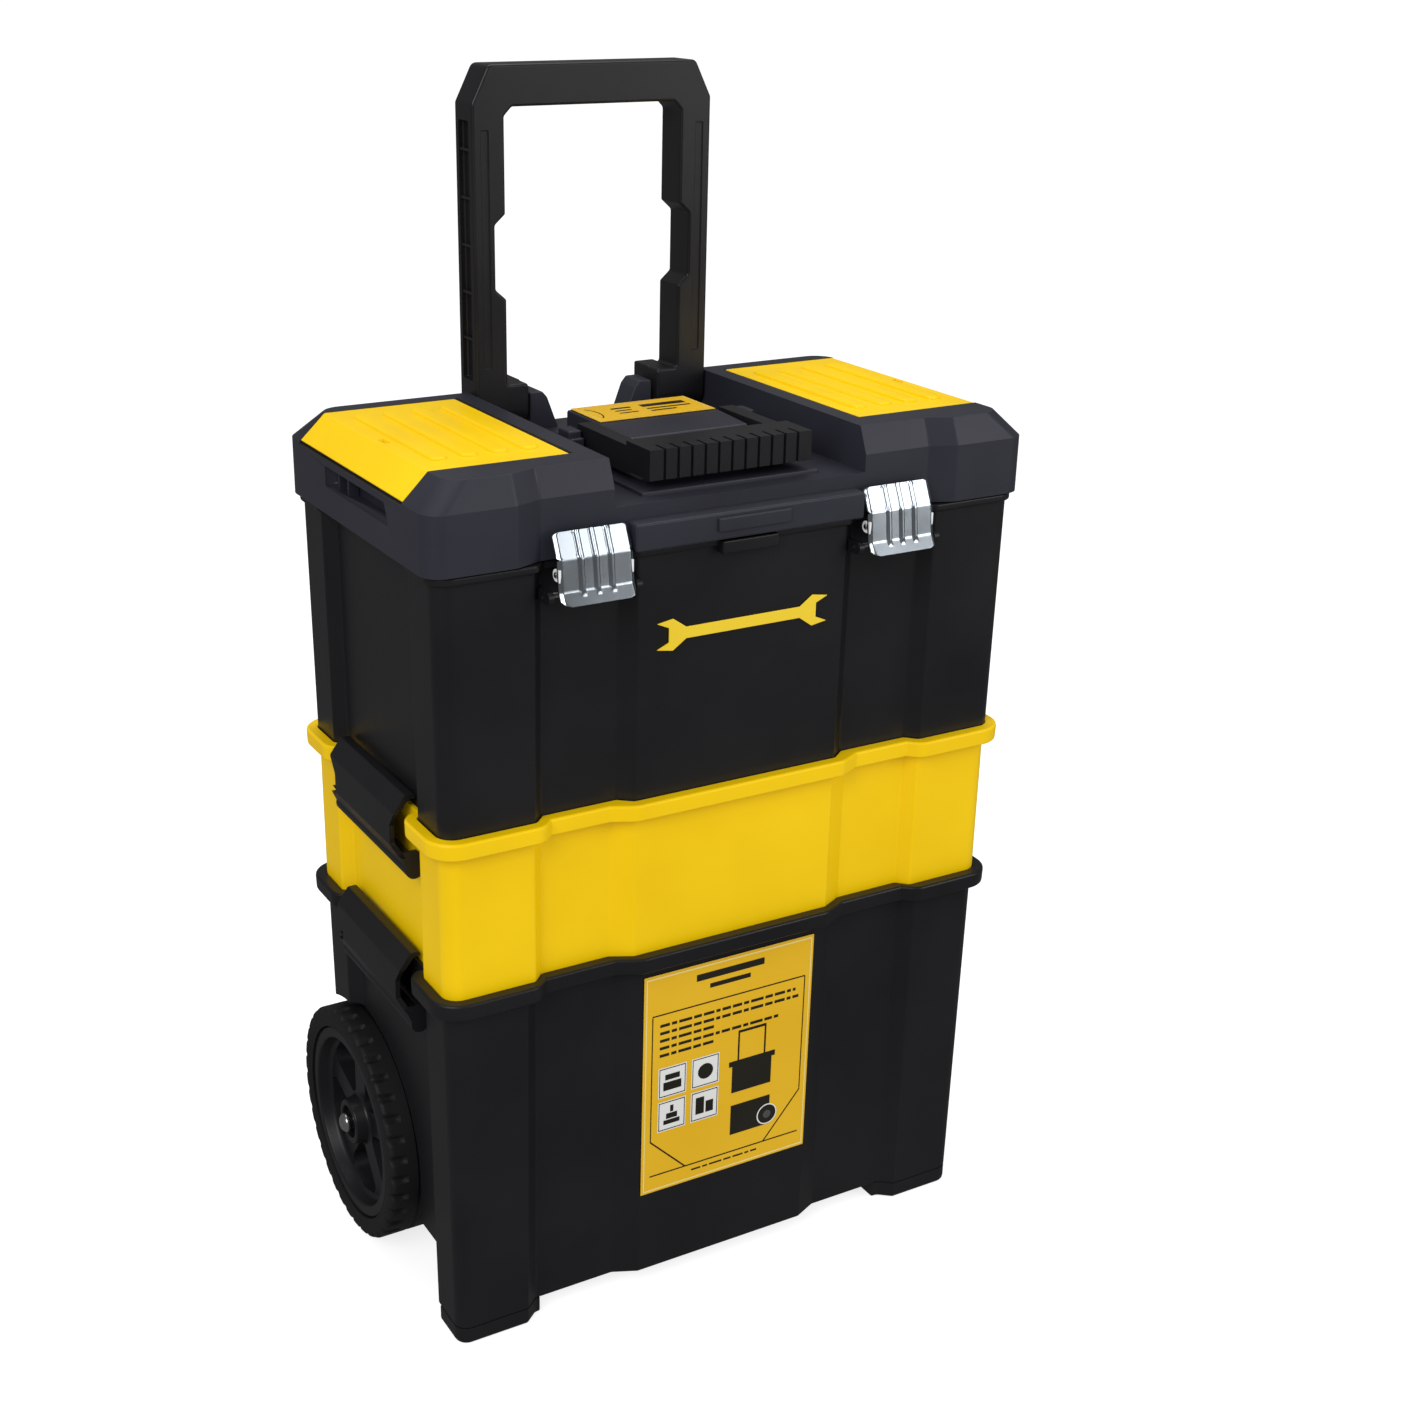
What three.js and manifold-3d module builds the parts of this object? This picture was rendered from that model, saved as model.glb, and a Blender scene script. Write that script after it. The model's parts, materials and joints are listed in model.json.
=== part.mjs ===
// Rolling tool box: a wheeled bin, a tote tray and a tool box that stack and clip together.
// Millimetres, +Z up, front towards -Y, origin under the middle of the whole object on the ground.
import * as THREE from "three";
import { mergeVertices } from "three/addons/utils/BufferGeometryUtils.js";
import Module from "manifold-3d";

const wasm = await Module();
wasm.setup();

// ---- Driving dimensions ----------------------------------------------------------------------
const WALL = 3; // moulded wall thickness
const GAP = 0.4; // between pieces that rest on or in each other
const CORNER_STEPS = 6; // straight steps in a rounded corner

// Of each unit: half its width and depth, its height, and where along X its middle panel ends and its
// corner columns start, each with the length of the slope beside it.
const BIN = { halfX: 217.5, halfY: 114, rimTop: 281.5, panel: [72, 18], column: [160, 10] };
const TRAY = { halfX: 218.1, halfY: 114.6, rimTop: 398, panel: [79, 16], column: [154, 8] };
const BOX = { halfX: 219.9, halfY: 116.4, top: 572, panel: [80, 10], column: [153, 8] };
const BIN_FLOOR = 13; // underside of the bin between its feet
const CORNER = 12; // radius of the body corners
const RECESS = 8; // depth of the panels between the corner columns
const SIDE = 66; // half length of the recess in each end wall
const SIDE_SLOPE = 8;
const SLOPE_SHIFT = 0.41; // tan(45 / 2): keeps the sloped steps as thick as the walls
const BIN_TAPER = 2.5; // how far the bin's foot is inside its rim
const BOX_TAPER = 1.4;
const RIM_OUT = 9.4; // how far a rim stands out
const RIM_HEIGHT = 12;
const SEAT_DEPTH = 3.5; // a unit sits this deep in the rim below it

const WHEEL = { y: 65, radius: 89.5, inner: 181.5, outer: 227.5, hubRadius: 74, facets: 32, spokes: 5 };
const AXLE_RADIUS = 5;
const WELL_RADIUS = 97;
const WELL_INNER = 178;
const WELL_FRONT = { y: -62, top: 52 }; // the low part of the well, ahead of the wheel
const CHANNEL = { front: 48, top: 106 }; // the step under the bin's rear that the axle crosses

const LID = { halfX: 226, halfY: 120, bottom: 572.8, deck: 600, crease: 612, top: 630, blockX: 95.1 };
const LID_INSET = { front: 8, outer: 18, rear: 14 }; // how far the end blocks' walls lean in above the crease
const LID_CORNER = 14;
const LID_PANEL = { halfX: 86.7, y: -126, top: 591 };
const LATCH_FACE_Y = -112.5; // the lid's front face behind the latches
const LID_FLANK = [147, 166]; // where that face slopes out to the corner columns
const LID_HINGE = { y: 122, z: 571, centre: 150, radius: 5 };
const ORGANIZER = { inner: 110.8, flat: 207, outer: 225, front: -82.5, rear: 92, well: 589, thick: 2.6 };
const ORGANIZER_HINGE = { x: 112.7, z: 626.6 };
const CARRY = { halfX: 61.5, armX: 50, front: -97, rear: -66, pivotZ: 614.5, top: 629, bottom: 609 };
const PULL = { y: 107, z: 617, halfX: 93.3, halfDepth: 14, armX: 69, top: 851, barBottom: 823.5 };
const CLIP = { waist: 49, head: 57, foot: 63.3, pivotX: 217, pivotDown: 42, barrel: 6.4, trunnion: 2.4 };
const CLIP_NOTCH = { halfY: 65, depth: 15, keep: 3.8 }; // in a rim, which keeps this much outside its wall
const CLIP_LUG = { near: 56.5, far: 60.5, radius: 4.4, room: 0.5 };
const INNER_TRAY = { halfX: 206.5, halfY: 98, bottom: 524, top: 566, wall: 2, cross: 70 };
const LATCH = { centre: 116, halfX: 26.5, pinY: -120, pinZ: 552, upperY: -123.5, upperZ: 566, sheet: 1.4 };

const WHEEL_Z = WHEEL.radius;
const TRAY_BOTTOM = BIN.rimTop - SEAT_DEPTH + GAP;
const BOX_BOTTOM = TRAY.rimTop - SEAT_DEPTH + GAP;
const FRONT_MOST = -135.2; // the lips of the latches
const REAR_MOST = WHEEL.y + WHEEL.radius;

// ---- Materials -------------------------------------------------------------------------------
const plastic = (color, roughness) => new THREE.MeshStandardMaterial({ color, roughness, metalness: 0 });
const metal = (color, roughness) => new THREE.MeshStandardMaterial({ color, roughness, metalness: 1 });
const BLACK = plastic(0x19191b, 0.5);
const CHARCOAL = plastic(0x2e2e36, 0.55);
const YELLOW = plastic(0xf4cf00, 0.45);
const TYRE = plastic(0x141415, 0.75);
const LABEL = plastic(0xe0b010, 0.5);
const ZINC = metal(0xb8c0c8, 0.3);
const STEEL = metal(0xa8a8aa, 0.35);

// ---- Solids ----------------------------------------------------------------------------------
function solid(geometry) {
  geometry.deleteAttribute("normal");
  geometry.deleteAttribute("uv");
  const merged = mergeVertices(geometry, 1e-4);
  return new wasm.Manifold(
    new wasm.Mesh({
      numProp: 3,
      vertProperties: merged.attributes.position.array,
      triVerts: new Uint32Array(merged.index.array),
    }),
  );
}

const join = (first, ...others) => others.reduce((sum, next) => sum.add(next), first);
const cut = (first, ...others) => others.reduce((rest, next) => rest.subtract(next), first);

function box(x0, x1, y0, y1, z0, z1) {
  const geometry = new THREE.BoxGeometry(x1 - x0, y1 - y0, z1 - z0);
  return solid(geometry.translate((x0 + x1) / 2, (y0 + y1) / 2, (z0 + z1) / 2));
}

// A box whose low x and high x are given for the right-hand side, made on the side that is asked for.
function sideBox(side, x0, x1, y0, y1, z0, z1) {
  return side > 0 ? box(x0, x1, y0, y1, z0, z1) : box(-x1, -x0, y0, y1, z0, z1);
}

// Outline points given for the right-hand side, put on the side that is asked for and still turning left.
const onSide = (side, points) => (side > 0 ? points : points.map(([a, b]) => [-a, b]).reverse());

// A round bar along X from x0 to x1.
function barX(x0, x1, y, z, radius, steps = 16) {
  const geometry = new THREE.CylinderGeometry(radius, radius, x1 - x0, steps);
  return solid(geometry.rotateZ(Math.PI / 2).translate((x0 + x1) / 2, y, z));
}

function sideBarX(side, x0, x1, y, z, radius, steps) {
  return side > 0 ? barX(x0, x1, y, z, radius, steps) : barX(-x1, -x0, y, z, radius, steps);
}

// A round bar along Y from y0 to y1.
function barY(x, y0, y1, z, radius, steps = 16) {
  const geometry = new THREE.CylinderGeometry(radius, radius, y1 - y0, steps);
  return solid(geometry.translate(x, (y0 + y1) / 2, z));
}

const extrude = (points, depth) =>
  new THREE.ExtrudeGeometry(new THREE.Shape(points.map(([x, y]) => new THREE.Vector2(x, y))), {
    depth,
    bevelEnabled: false,
  });

// An outline of [y, z] points, swept along X from x0 to x1.
function prismX(points, x0, x1) {
  const toYZ = new THREE.Matrix4().makeBasis(
    new THREE.Vector3(0, 1, 0),
    new THREE.Vector3(0, 0, 1),
    new THREE.Vector3(1, 0, 0),
  );
  return solid(extrude(points, x1 - x0).applyMatrix4(toYZ).translate(x0, 0, 0));
}

// An outline of [x, z] points, swept along Y from y0 to y1.
function prismY(points, y0, y1) {
  return solid(extrude(points, y1 - y0).rotateX(Math.PI / 2).translate(0, y1, 0));
}

// A solid through a stack of level outlines that all have the same number of points, turning left.
function loft(levels) {
  const count = levels[0].points.length;
  const positions = levels.flatMap(({ z, points }) => points.flatMap(([x, y]) => [x, y, z]));
  const faces = [];
  for (let level = 0; level + 1 < levels.length; level++)
    for (let i = 0; i < count; i++) {
      const a = level * count + i;
      const b = level * count + ((i + 1) % count);
      faces.push(a, b, b + count, a, b + count, a + count);
    }
  const caps = (points) =>
    THREE.ShapeUtils.triangulateShape(
      points.map(([x, y]) => new THREE.Vector2(x, y)),
      [],
    );
  const last = (levels.length - 1) * count;
  for (const [a, b, c] of caps(levels[0].points)) faces.push(c, b, a);
  for (const [a, b, c] of caps(levels.at(-1).points)) faces.push(last + a, last + b, last + c);
  const geometry = new THREE.BufferGeometry();
  geometry.setAttribute("position", new THREE.Float32BufferAttribute(positions, 3));
  geometry.setIndex(faces);
  return solid(geometry);
}

// The quarter of a rounded corner that turns left from the -Y side to the +X side.
function cornerArc(x, y, radius) {
  return Array.from({ length: CORNER_STEPS + 1 }, (_, i) => {
    const angle = (i / CORNER_STEPS - 1) * (Math.PI / 2);
    return [x + radius * Math.cos(angle), y + radius * Math.sin(angle)];
  });
}

// The plan of a unit: round corner columns, recessed panels between them and a proud middle panel.
// grow moves the whole outline outwards, and a negative grow gives the inside of a wall.
function plan(unit, grow = 0) {
  const x = unit.halfX + grow;
  const y = -unit.halfY - grow;
  const shift = grow * SLOPE_SHIFT;
  const radius = CORNER + grow;
  const [panel, panelSlope] = unit.panel;
  const [column, columnSlope] = unit.column;
  const quarter = [
    [panel + shift, y],
    [panel + panelSlope + shift, y + RECESS],
    [column - columnSlope - shift, y + RECESS],
    [column - shift, y],
    ...cornerArc(x - radius, y + radius, radius),
    [x, -(SIDE + SIDE_SLOPE) + shift],
    [x - RECESS, -SIDE + shift],
  ];
  const mirrored = (sx, sy) => quarter.map(([px, py]) => [px * sx, py * sy]);
  return [
    ...quarter,
    ...mirrored(1, -1).reverse(),
    ...mirrored(-1, -1),
    ...mirrored(-1, 1).reverse(),
  ];
}

const straight = (unit, grow, z0, z1) =>
  loft([
    { z: z0, points: plan(unit, grow) },
    { z: z1, points: plan(unit, grow) },
  ]);

const tapered = (unit, lowGrow, highGrow, z0, z1) =>
  loft([
    { z: z0, points: plan(unit, lowGrow) },
    { z: z1, points: plan(unit, highGrow) },
  ]);

function mesh(name, shape, material) {
  const { numProp, numVert, vertProperties, triVerts } = shape.getMesh();
  const positions = new Float32Array(numVert * 3);
  for (let i = 0; i < numVert; i++) {
    const start = i * numProp;
    positions.set(vertProperties.subarray(start, start + 3), i * 3);
  }
  const geometry = new THREE.BufferGeometry();
  geometry.setAttribute("position", new THREE.BufferAttribute(positions, 3));
  geometry.setIndex(new THREE.BufferAttribute(triVerts, 1));
  geometry.computeVertexNormals();
  const made = new THREE.Mesh(geometry, material);
  made.name = name;
  return made;
}

const SIDES = [
  ["left", -1],
  ["right", 1],
];

// ---- Clips and the rims that they close over -------------------------------------------------
// The notch in a rim, and the two lugs on the end wall, for one side clip.
function clipNotch(unit, side) {
  const { halfY, depth, keep } = CLIP_NOTCH;
  const inner = unit.halfX - RECESS + keep;
  return sideBox(side, inner, 240, -halfY, halfY, unit.rimTop - depth, unit.rimTop + 1);
}

function clipLugs(unit, side) {
  const z = unit.rimTop - CLIP.pivotDown;
  const x = side * CLIP.pivotX;
  const { near, far, radius } = CLIP_LUG;
  const root = unit.halfX - RECESS - 2;
  const lugs = [
    [-far, -near],
    [near, far],
  ].map(([y0, y1]) =>
    cut(
      join(sideBox(side, root, CLIP.pivotX, y0, y1, z - radius, z + radius), barY(x, y0, y1, z, radius)),
      barY(x, y0 - 1, y1 + 1, z, CLIP.trunnion + GAP),
    ),
  );
  return join(...lugs);
}

// The room in a clip's barrel for one lug, as the clip swings from closed to wide open.
function lugPocket(side, pivotZ, y0, y1) {
  const radius = CLIP_LUG.radius + CLIP_LUG.room;
  const necks = [0, 30, 60].map((degrees) => {
    const [c, s] = [Math.cos((degrees * Math.PI) / 180), Math.sin((degrees * Math.PI) / 180)];
    const neck = [
      [0, radius],
      [-10, radius],
      [-10, -radius],
      [0, -radius],
    ].map(([dx, dz]) => [CLIP.pivotX + dx * c - dz * s, pivotZ + dx * s + dz * c]);
    return prismY(onSide(side, neck), y0, y1);
  });
  return join(barY(side * CLIP.pivotX, y0, y1, pivotZ, radius), ...necks);
}

// A sprung side flap. It hooks in at its head, is narrower at its waist, and its foot is a barrel that
// turns on the lugs, with a cheek at each end that hides them.
function clip(side, rimTop) {
  const { waist, head, foot, pivotX, barrel, trunnion } = CLIP;
  const place = ([dx, dz]) => [pivotX + dx, rimTop + dz];
  const flap = [
    [3, 10],
    [-4.2, 10],
    [-4.2, 6.5],
    [0, 7],
    [8, -3],
    [8, -26],
    [-0.5, -44],
    [3, -46.5],
    [11.5, -27],
    [11.5, -1.5],
  ].map(place);
  const cheek = [
    [8.5, -28],
    [-2, -28],
    [-5.9, -32],
    [-5.9, -42],
    [0, -42],
  ].map(place);
  const sidesCut = [
    [head, 11],
    [head, -2],
    [waist, -13],
    [waist, -27],
    [head, -32],
    [foot + 1, -32],
    [foot + 1, 11],
  ].map(([y, dz]) => [y, rimTop + dz]);
  const pivotZ = rimTop - CLIP.pivotDown;
  const x = side * pivotX;
  const [near, far] = [CLIP_LUG.near - CLIP_LUG.room, CLIP_LUG.far + CLIP_LUG.room];
  const outer = cut(
    prismY(onSide(side, flap), -foot, foot),
    prismX(sidesCut.slice().reverse(), -240, 240),
    prismX(onSide(-1, sidesCut.slice().reverse()), -240, 240),
  );
  const body = join(
    outer,
    barY(x, -foot, foot, pivotZ, barrel, 24),
    prismY(onSide(side, cheek), -foot, -far),
    prismY(onSide(side, cheek), far, foot),
  );
  const hollowed = cut(body, lugPocket(side, pivotZ, near, far), lugPocket(side, pivotZ, -far, -near));
  return join(hollowed, barY(x, -foot + 1, foot - 1, pivotZ, trunnion));
}

// An open unit with a rim: outer skin and rim, less its inside and the seat for the unit above.
function rimmedUnit(unit, above, skin, inside) {
  const rim = straight(unit, RIM_OUT, unit.rimTop - RIM_HEIGHT, unit.rimTop);
  const seat = straight(above, 0.8, unit.rimTop - SEAT_DEPTH, unit.rimTop + 1);
  const notches = SIDES.map(([, side]) => clipNotch(unit, side));
  const shell = cut(join(skin, rim), inside, seat, ...notches);
  return join(shell, ...SIDES.map(([, side]) => clipLugs(unit, side)));
}

// ---- Lower bin, wheels and axle --------------------------------------------------------------
function wheelWell(side, extra) {
  const { y, top } = WELL_FRONT;
  return join(
    sideBarX(side, WELL_INNER - extra, 240, WHEEL.y, WHEEL_Z, WELL_RADIUS + extra, 32),
    sideBox(side, WELL_INNER - extra, 240, y - extra, WHEEL.y, -5, top + extra),
  );
}

function axleChannel(extra) {
  const half = WELL_INNER - 6 + extra;
  return box(-half, half, CHANNEL.front - extra, 140, -5, CHANNEL.top + extra);
}

function lowerBin() {
  const foot = BIN_FLOOR;
  const wells = SIDES.map(([, side]) => wheelWell(side, 0));
  const thickWells = SIDES.map(([, side]) => wheelWell(side, WALL));
  const columns = straight(BIN, -BIN_TAPER, 0, foot + 1);
  const feet = SIDES.map(([, side]) => columns.intersect(sideBox(side, 148, 240, -120, -78, -1, foot + 2)));
  const body = tapered(BIN, -BIN_TAPER, 0, foot, BIN.rimTop - RIM_HEIGHT + 1);
  const skin = cut(join(body, ...feet), ...wells, axleChannel(0));
  const inside = cut(
    tapered(BIN, -BIN_TAPER - WALL, -WALL, foot + WALL, BIN.rimTop + 1),
    ...thickWells,
    axleChannel(WALL),
  );
  const axleHole = barX(-185, 185, WHEEL.y, WHEEL_Z, AXLE_RADIUS + GAP, 24);
  const underCheeks = box(-184, 184, CHANNEL.front + 1, 140, -1, WHEEL_Z - 28);
  return cut(rimmedUnit(BIN, TRAY, skin, inside), axleHole, underCheeks);
}

function lathe(side, profile, steps, start = 0) {
  const points = profile.map(([radius, x]) => new THREE.Vector2(radius, x));
  const geometry = new THREE.LatheGeometry([...points, points[0]], steps, start);
  const round = solid(geometry.rotateZ(-Math.PI / 2).translate(0, WHEEL.y, WHEEL_Z));
  return side > 0 ? round : round.mirror([1, 0, 0]);
}

// Flats, not corners, of the faceted tread lie at the bottom and the rear.
function tyre(side) {
  const outer = WHEEL.radius / Math.cos(Math.PI / WHEEL.facets);
  const bore = (WHEEL.hubRadius + GAP) / Math.cos(Math.PI / WHEEL.facets);
  const shoulder = 4;
  return lathe(
    side,
    [
      [bore, WHEEL.inner],
      [outer - shoulder, WHEEL.inner],
      [outer, WHEEL.inner + shoulder],
      [outer, WHEEL.outer - shoulder],
      [outer - shoulder, WHEEL.outer],
      [bore, WHEEL.outer],
    ],
    WHEEL.facets,
    Math.PI / WHEEL.facets,
  );
}

// A dished wheel: rim and boss joined by a web, with raised spokes on its outer side.
function wheel(side) {
  const rimInside = 63;
  const bossRadius = 15;
  const web = [198, 203];
  const boss = [WELL_INNER + 1, 226];
  const disc = lathe(
    side,
    [
      [AXLE_RADIUS + GAP, boss[0]],
      [bossRadius, boss[0]],
      [bossRadius, web[0]],
      [rimInside, web[0]],
      [rimInside, WHEEL.inner + 1.5],
      [WHEEL.hubRadius, WHEEL.inner + 1.5],
      [WHEEL.hubRadius, WHEEL.outer - 2],
      [rimInside, WHEEL.outer - 2],
      [rimInside, web[1]],
      [bossRadius, web[1]],
      [bossRadius, boss[1]],
      [AXLE_RADIUS + GAP, boss[1]],
    ],
    WHEEL.facets,
  );
  const spokes = Array.from({ length: WHEEL.spokes }, (_, i) => {
    const geometry = new THREE.BoxGeometry(20, 13, rimInside - bossRadius + 6);
    geometry.translate(side * 212, 0, (rimInside + bossRadius) / 2);
    geometry.rotateX((i * 2 * Math.PI) / WHEEL.spokes);
    return solid(geometry.translate(0, WHEEL.y, WHEEL_Z));
  });
  return join(disc, ...spokes);
}

// A domed push-on cap over the end of the axle.
function axleCap(side) {
  return lathe(
    side,
    [
      [AXLE_RADIUS + GAP, 226.6],
      [7.5, 226.6],
      [7.2, 229.5],
      [4.5, 232],
      [0, 232],
      [0, 229.8],
      [AXLE_RADIUS + GAP, 229.8],
    ],
    12,
  );
}

// ---- Tote tray -------------------------------------------------------------------------------
function toteTray() {
  const skin = straight(TRAY, 0, TRAY_BOTTOM, TRAY.rimTop - RIM_HEIGHT + 1);
  const inside = straight(TRAY, -WALL, TRAY_BOTTOM + WALL, TRAY.rimTop + 1);
  const boxFoot = { ...BOX, halfX: BOX.halfX - BOX_TAPER, halfY: BOX.halfY - BOX_TAPER };
  return rimmedUnit(TRAY, boxFoot, skin, inside);
}

// ---- Tool box --------------------------------------------------------------------------------
// The spans along X of the knuckles of one lid hinge: two on the box, one between them on the lid.
const BOX_KNUCKLES = [
  [LID_HINGE.centre - 25, LID_HINGE.centre - 13],
  [LID_HINGE.centre + 13, LID_HINGE.centre + 25],
];
const LID_KNUCKLE = [LID_HINGE.centre - 12, LID_HINGE.centre + 12];
const hingeHole = (side) => sideBarX(side, 120, 180, LID_HINGE.y, LID_HINGE.z, 2.3 + GAP, 12);

function boxKnuckles(side) {
  const { y, z, radius } = LID_HINGE;
  const knuckles = BOX_KNUCKLES.map(([x0, x1]) =>
    join(sideBarX(side, x0, x1, y, z, radius, 16), sideBox(side, x0, x1, 107, y, z - 9, z - 1)),
  );
  return cut(join(...knuckles), hingeHole(side));
}

// Lugs either side of a latch, which hold its lower pin.
function latchLugs(side) {
  const spans = [
    [LATCH.centre - 33, LATCH.centre - 29],
    [LATCH.centre + 29, LATCH.centre + 33],
  ];
  const lugs = spans.map(([x0, x1]) =>
    join(
      sideBox(side, x0, x1, -124, -106, LATCH.pinZ - 4, LATCH.pinZ + 4),
      sideBarX(side, x0, x1, -124, LATCH.pinZ, 4, 12),
    ),
  );
  return cut(join(...lugs), sideBarX(side, 70, 160, LATCH.pinY, LATCH.pinZ, 1.8 + GAP, 12));
}

function toolBoxBody() {
  const skin = tapered(BOX, -BOX_TAPER, 0, BOX_BOTTOM, BOX.top);
  const flange = straight(BOX, 2.6, BOX.top - 5, BOX.top);
  const inside = tapered(BOX, -BOX_TAPER - WALL, -WALL, BOX_BOTTOM + WALL, BOX.top + 1);
  const catchTab = box(-21.5, 21.5, -123.5, -112, BOX.top - 10, BOX.top - 1);
  const shell = join(skin, flange, catchTab);
  const room = SIDES.flatMap(([, side]) => [
    sideBox(side, LID_KNUCKLE[0] - 0.6, LID_KNUCKLE[1] + 0.6, 116.5, 140, 560, 575),
    sideBox(side, LATCH.centre - 28, LATCH.centre + 28, -140, LATCH_FACE_Y + 1, 560, 575),
  ]);
  const ledges = SIDES.map(([, side]) => sideBox(side, 198, 210.5, -60, 60, 518, INNER_TRAY.bottom - GAP));
  return join(
    cut(shell, inside, ...room),
    ...ledges,
    ...SIDES.map(([, side]) => boxKnuckles(side)),
    ...SIDES.map(([, side]) => latchLugs(side)),
  );
}

// The lift-out tray under the lid: two end wells, two middle wells and a grip along the middle wall.
function innerTray() {
  const { halfX, halfY, bottom, top, wall, cross } = INNER_TRAY;
  const low = bottom + wall;
  const endWells = SIDES.map(([, side]) =>
    sideBox(side, cross + wall / 2, halfX - wall, wall - halfY, halfY - wall, low, top + 1),
  );
  const middleX = cross - wall / 2;
  const middleWells = [
    box(-middleX, middleX, wall - halfY, -wall / 2, low, top + 1),
    box(-middleX, middleX, wall / 2, halfY - wall, low, top + 1),
  ];
  const block = box(-halfX, halfX, -halfY, halfY, bottom, top);
  const grip = box(-45, 45, -6, 6, top - 6, top);
  return join(cut(block, ...endWells, ...middleWells), grip);
}

// ---- Lid -------------------------------------------------------------------------------------
// The plan of the lid's left or right end block: lean is 0 at its upright walls and 1 at its top.
function blockPlan(side, lean) {
  const face = LATCH_FACE_Y + LID_INSET.front * lean;
  const front = -LID.halfY + LID_INSET.front * lean;
  const rear = LID.halfY - LID_INSET.rear * lean;
  const x = LID.halfX - LID_INSET.outer * lean;
  const arc = cornerArc(x - LID_CORNER, front + LID_CORNER, LID_CORNER);
  const rearArc = cornerArc(x - LID_CORNER, LID_CORNER - rear, LID_CORNER).map(([px, py]) => [px, -py]);
  const points = [
    [LID.blockX, face],
    [LID_FLANK[0], face],
    [LID_FLANK[1], front],
    ...arc,
    ...rearArc.reverse(),
    [LID.blockX, rear],
  ];
  return onSide(side, points);
}

function endBlock(side) {
  return loft([
    { z: LID.bottom, points: blockPlan(side, 0) },
    { z: LID.crease, points: blockPlan(side, 0) },
    { z: LID.top, points: blockPlan(side, 1) },
  ]);
}

// The seat of an organizer lid and the well under it, open at the top and over the sloped outer face.
function organizerSpace(side) {
  const { front, rear, well, outer } = ORGANIZER;
  const seatDepth = ORGANIZER.thick + GAP;
  const slope = [
    [ORGANIZER_HINGE.x - 3.5, LID.top - seatDepth],
    [ORGANIZER.flat - 1, LID.top - seatDepth],
    [outer - 2.4, LID.crease - 1.5],
    [240, LID.crease - 1.5],
    [240, 645],
    [ORGANIZER_HINGE.x - 3.5, 645],
  ];
  const hinge = ORGANIZER_HINGE;
  return join(
    prismY(onSide(side, slope), front - 0.6, rear + 0.6),
    sideBox(side, 115, 204, front + 4, rear - 4, well, 640),
    sideBox(side, hinge.x - 4, hinge.x + 4, front - 0.6, rear + 0.6, hinge.z - 5, 640),
    barY(side * hinge.x, front - 6, rear + 6, hinge.z, 1.9),
  );
}

const fingerSlot = (side) => sideBox(side, 214, 235, -60, 46, 592, 606);

// A carry-handle ear on the deck, and its pivot hole.
const carryEar = (side) =>
  cut(
    join(
      sideBox(side, 63.2, 73.5, -12, 12, LID.deck - 1, 619),
      sideBox(side, 63.2, 73.5, -8, 8, LID.deck - 1, 623.5),
    ),
    sideBarX(side, 60, 70.5, 0, CARRY.pivotZ, 3.4),
  );

// The sloped lug on the lid beside the pull handle's foot.
function pullLug(side) {
  const profile = [
    [27, LID.deck - 1],
    [50, LID.deck - 1],
    [50, 627],
    [40, 627],
    [36, 622.5],
  ];
  return prismY(onSide(side, profile), 97, 119);
}

function lidDeck() {
  const half = LID.blockX + 1;
  const deck = box(-half, half, LATCH_FACE_Y, LID.halfY, LID.bottom, LID.deck);
  const { halfX, y, top } = LID_PANEL;
  const panel = box(-halfX, halfX, y, LATCH_FACE_Y + 1, LID.bottom, top);
  const fingerTab = box(-27.5, 27.5, y - 2, y + 1, LID.bottom + 6, LID.bottom + 15);
  const plate = box(-67.3, 67.3, -98, 30, LID.deck - 1, 602.6);
  const raised = [
    [-41.5, LID.deck - 1],
    [45, LID.deck - 1],
    [45, 625],
    [-3, 625],
    [-41.5, 623],
  ];
  return join(deck, panel, fingerTab, plate, prismX(raised, -47.5, 47.5));
}

function lidHollow() {
  const mid = LID.blockX - 4;
  const panelX = LID_PANEL.halfX - WALL;
  const underWells = ORGANIZER.well - WALL;
  return join(
    box(-mid, mid, LATCH_FACE_Y + WALL, 117, LID.bottom - 1, LID.deck - WALL),
    box(-panelX, panelX, LID_PANEL.y + WALL, -100, LID.bottom - 1, LID_PANEL.top - WALL),
    ...SIDES.map(([, side]) => sideBox(side, mid - 1, 216, -108, 116.5, LID.bottom - 1, underWells)),
    ...SIDES.map(([, side]) => sideBox(side, 214, 222.5, -106, 106, LID.bottom - 1, underWells)),
  );
}

function lidKnuckle(side) {
  const { y, z, radius } = LID_HINGE;
  const [x0, x1] = LID_KNUCKLE;
  const arm = sideBox(side, x0, x1, 117.2, y, z, LID.bottom + 3);
  return cut(join(sideBarX(side, x0, x1, y, z, radius, 16), arm), hingeHole(side));
}

function lid() {
  const shell = join(lidDeck(), ...SIDES.map(([, side]) => endBlock(side)));
  const carved = cut(
    shell,
    lidHollow(),
    ...SIDES.flatMap(([, side]) => [
      organizerSpace(side),
      fingerSlot(side),
      ...BOX_KNUCKLES.map(([x0, x1]) => sideBox(side, x0 - 0.6, x1 + 0.6, 115, 130, LID.bottom - 1, 578)),
      sideBarX(side, 90, 106, PULL.y, PULL.z, 4 + GAP),
    ]),
  );
  const fittings = SIDES.flatMap(([, side]) => [
    carryEar(side),
    cut(pullLug(side), sideBarX(side, 38, 60, PULL.y, PULL.z, 4 + GAP)),
    lidKnuckle(side),
  ]);
  return join(carved, ...fittings);
}

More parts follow.
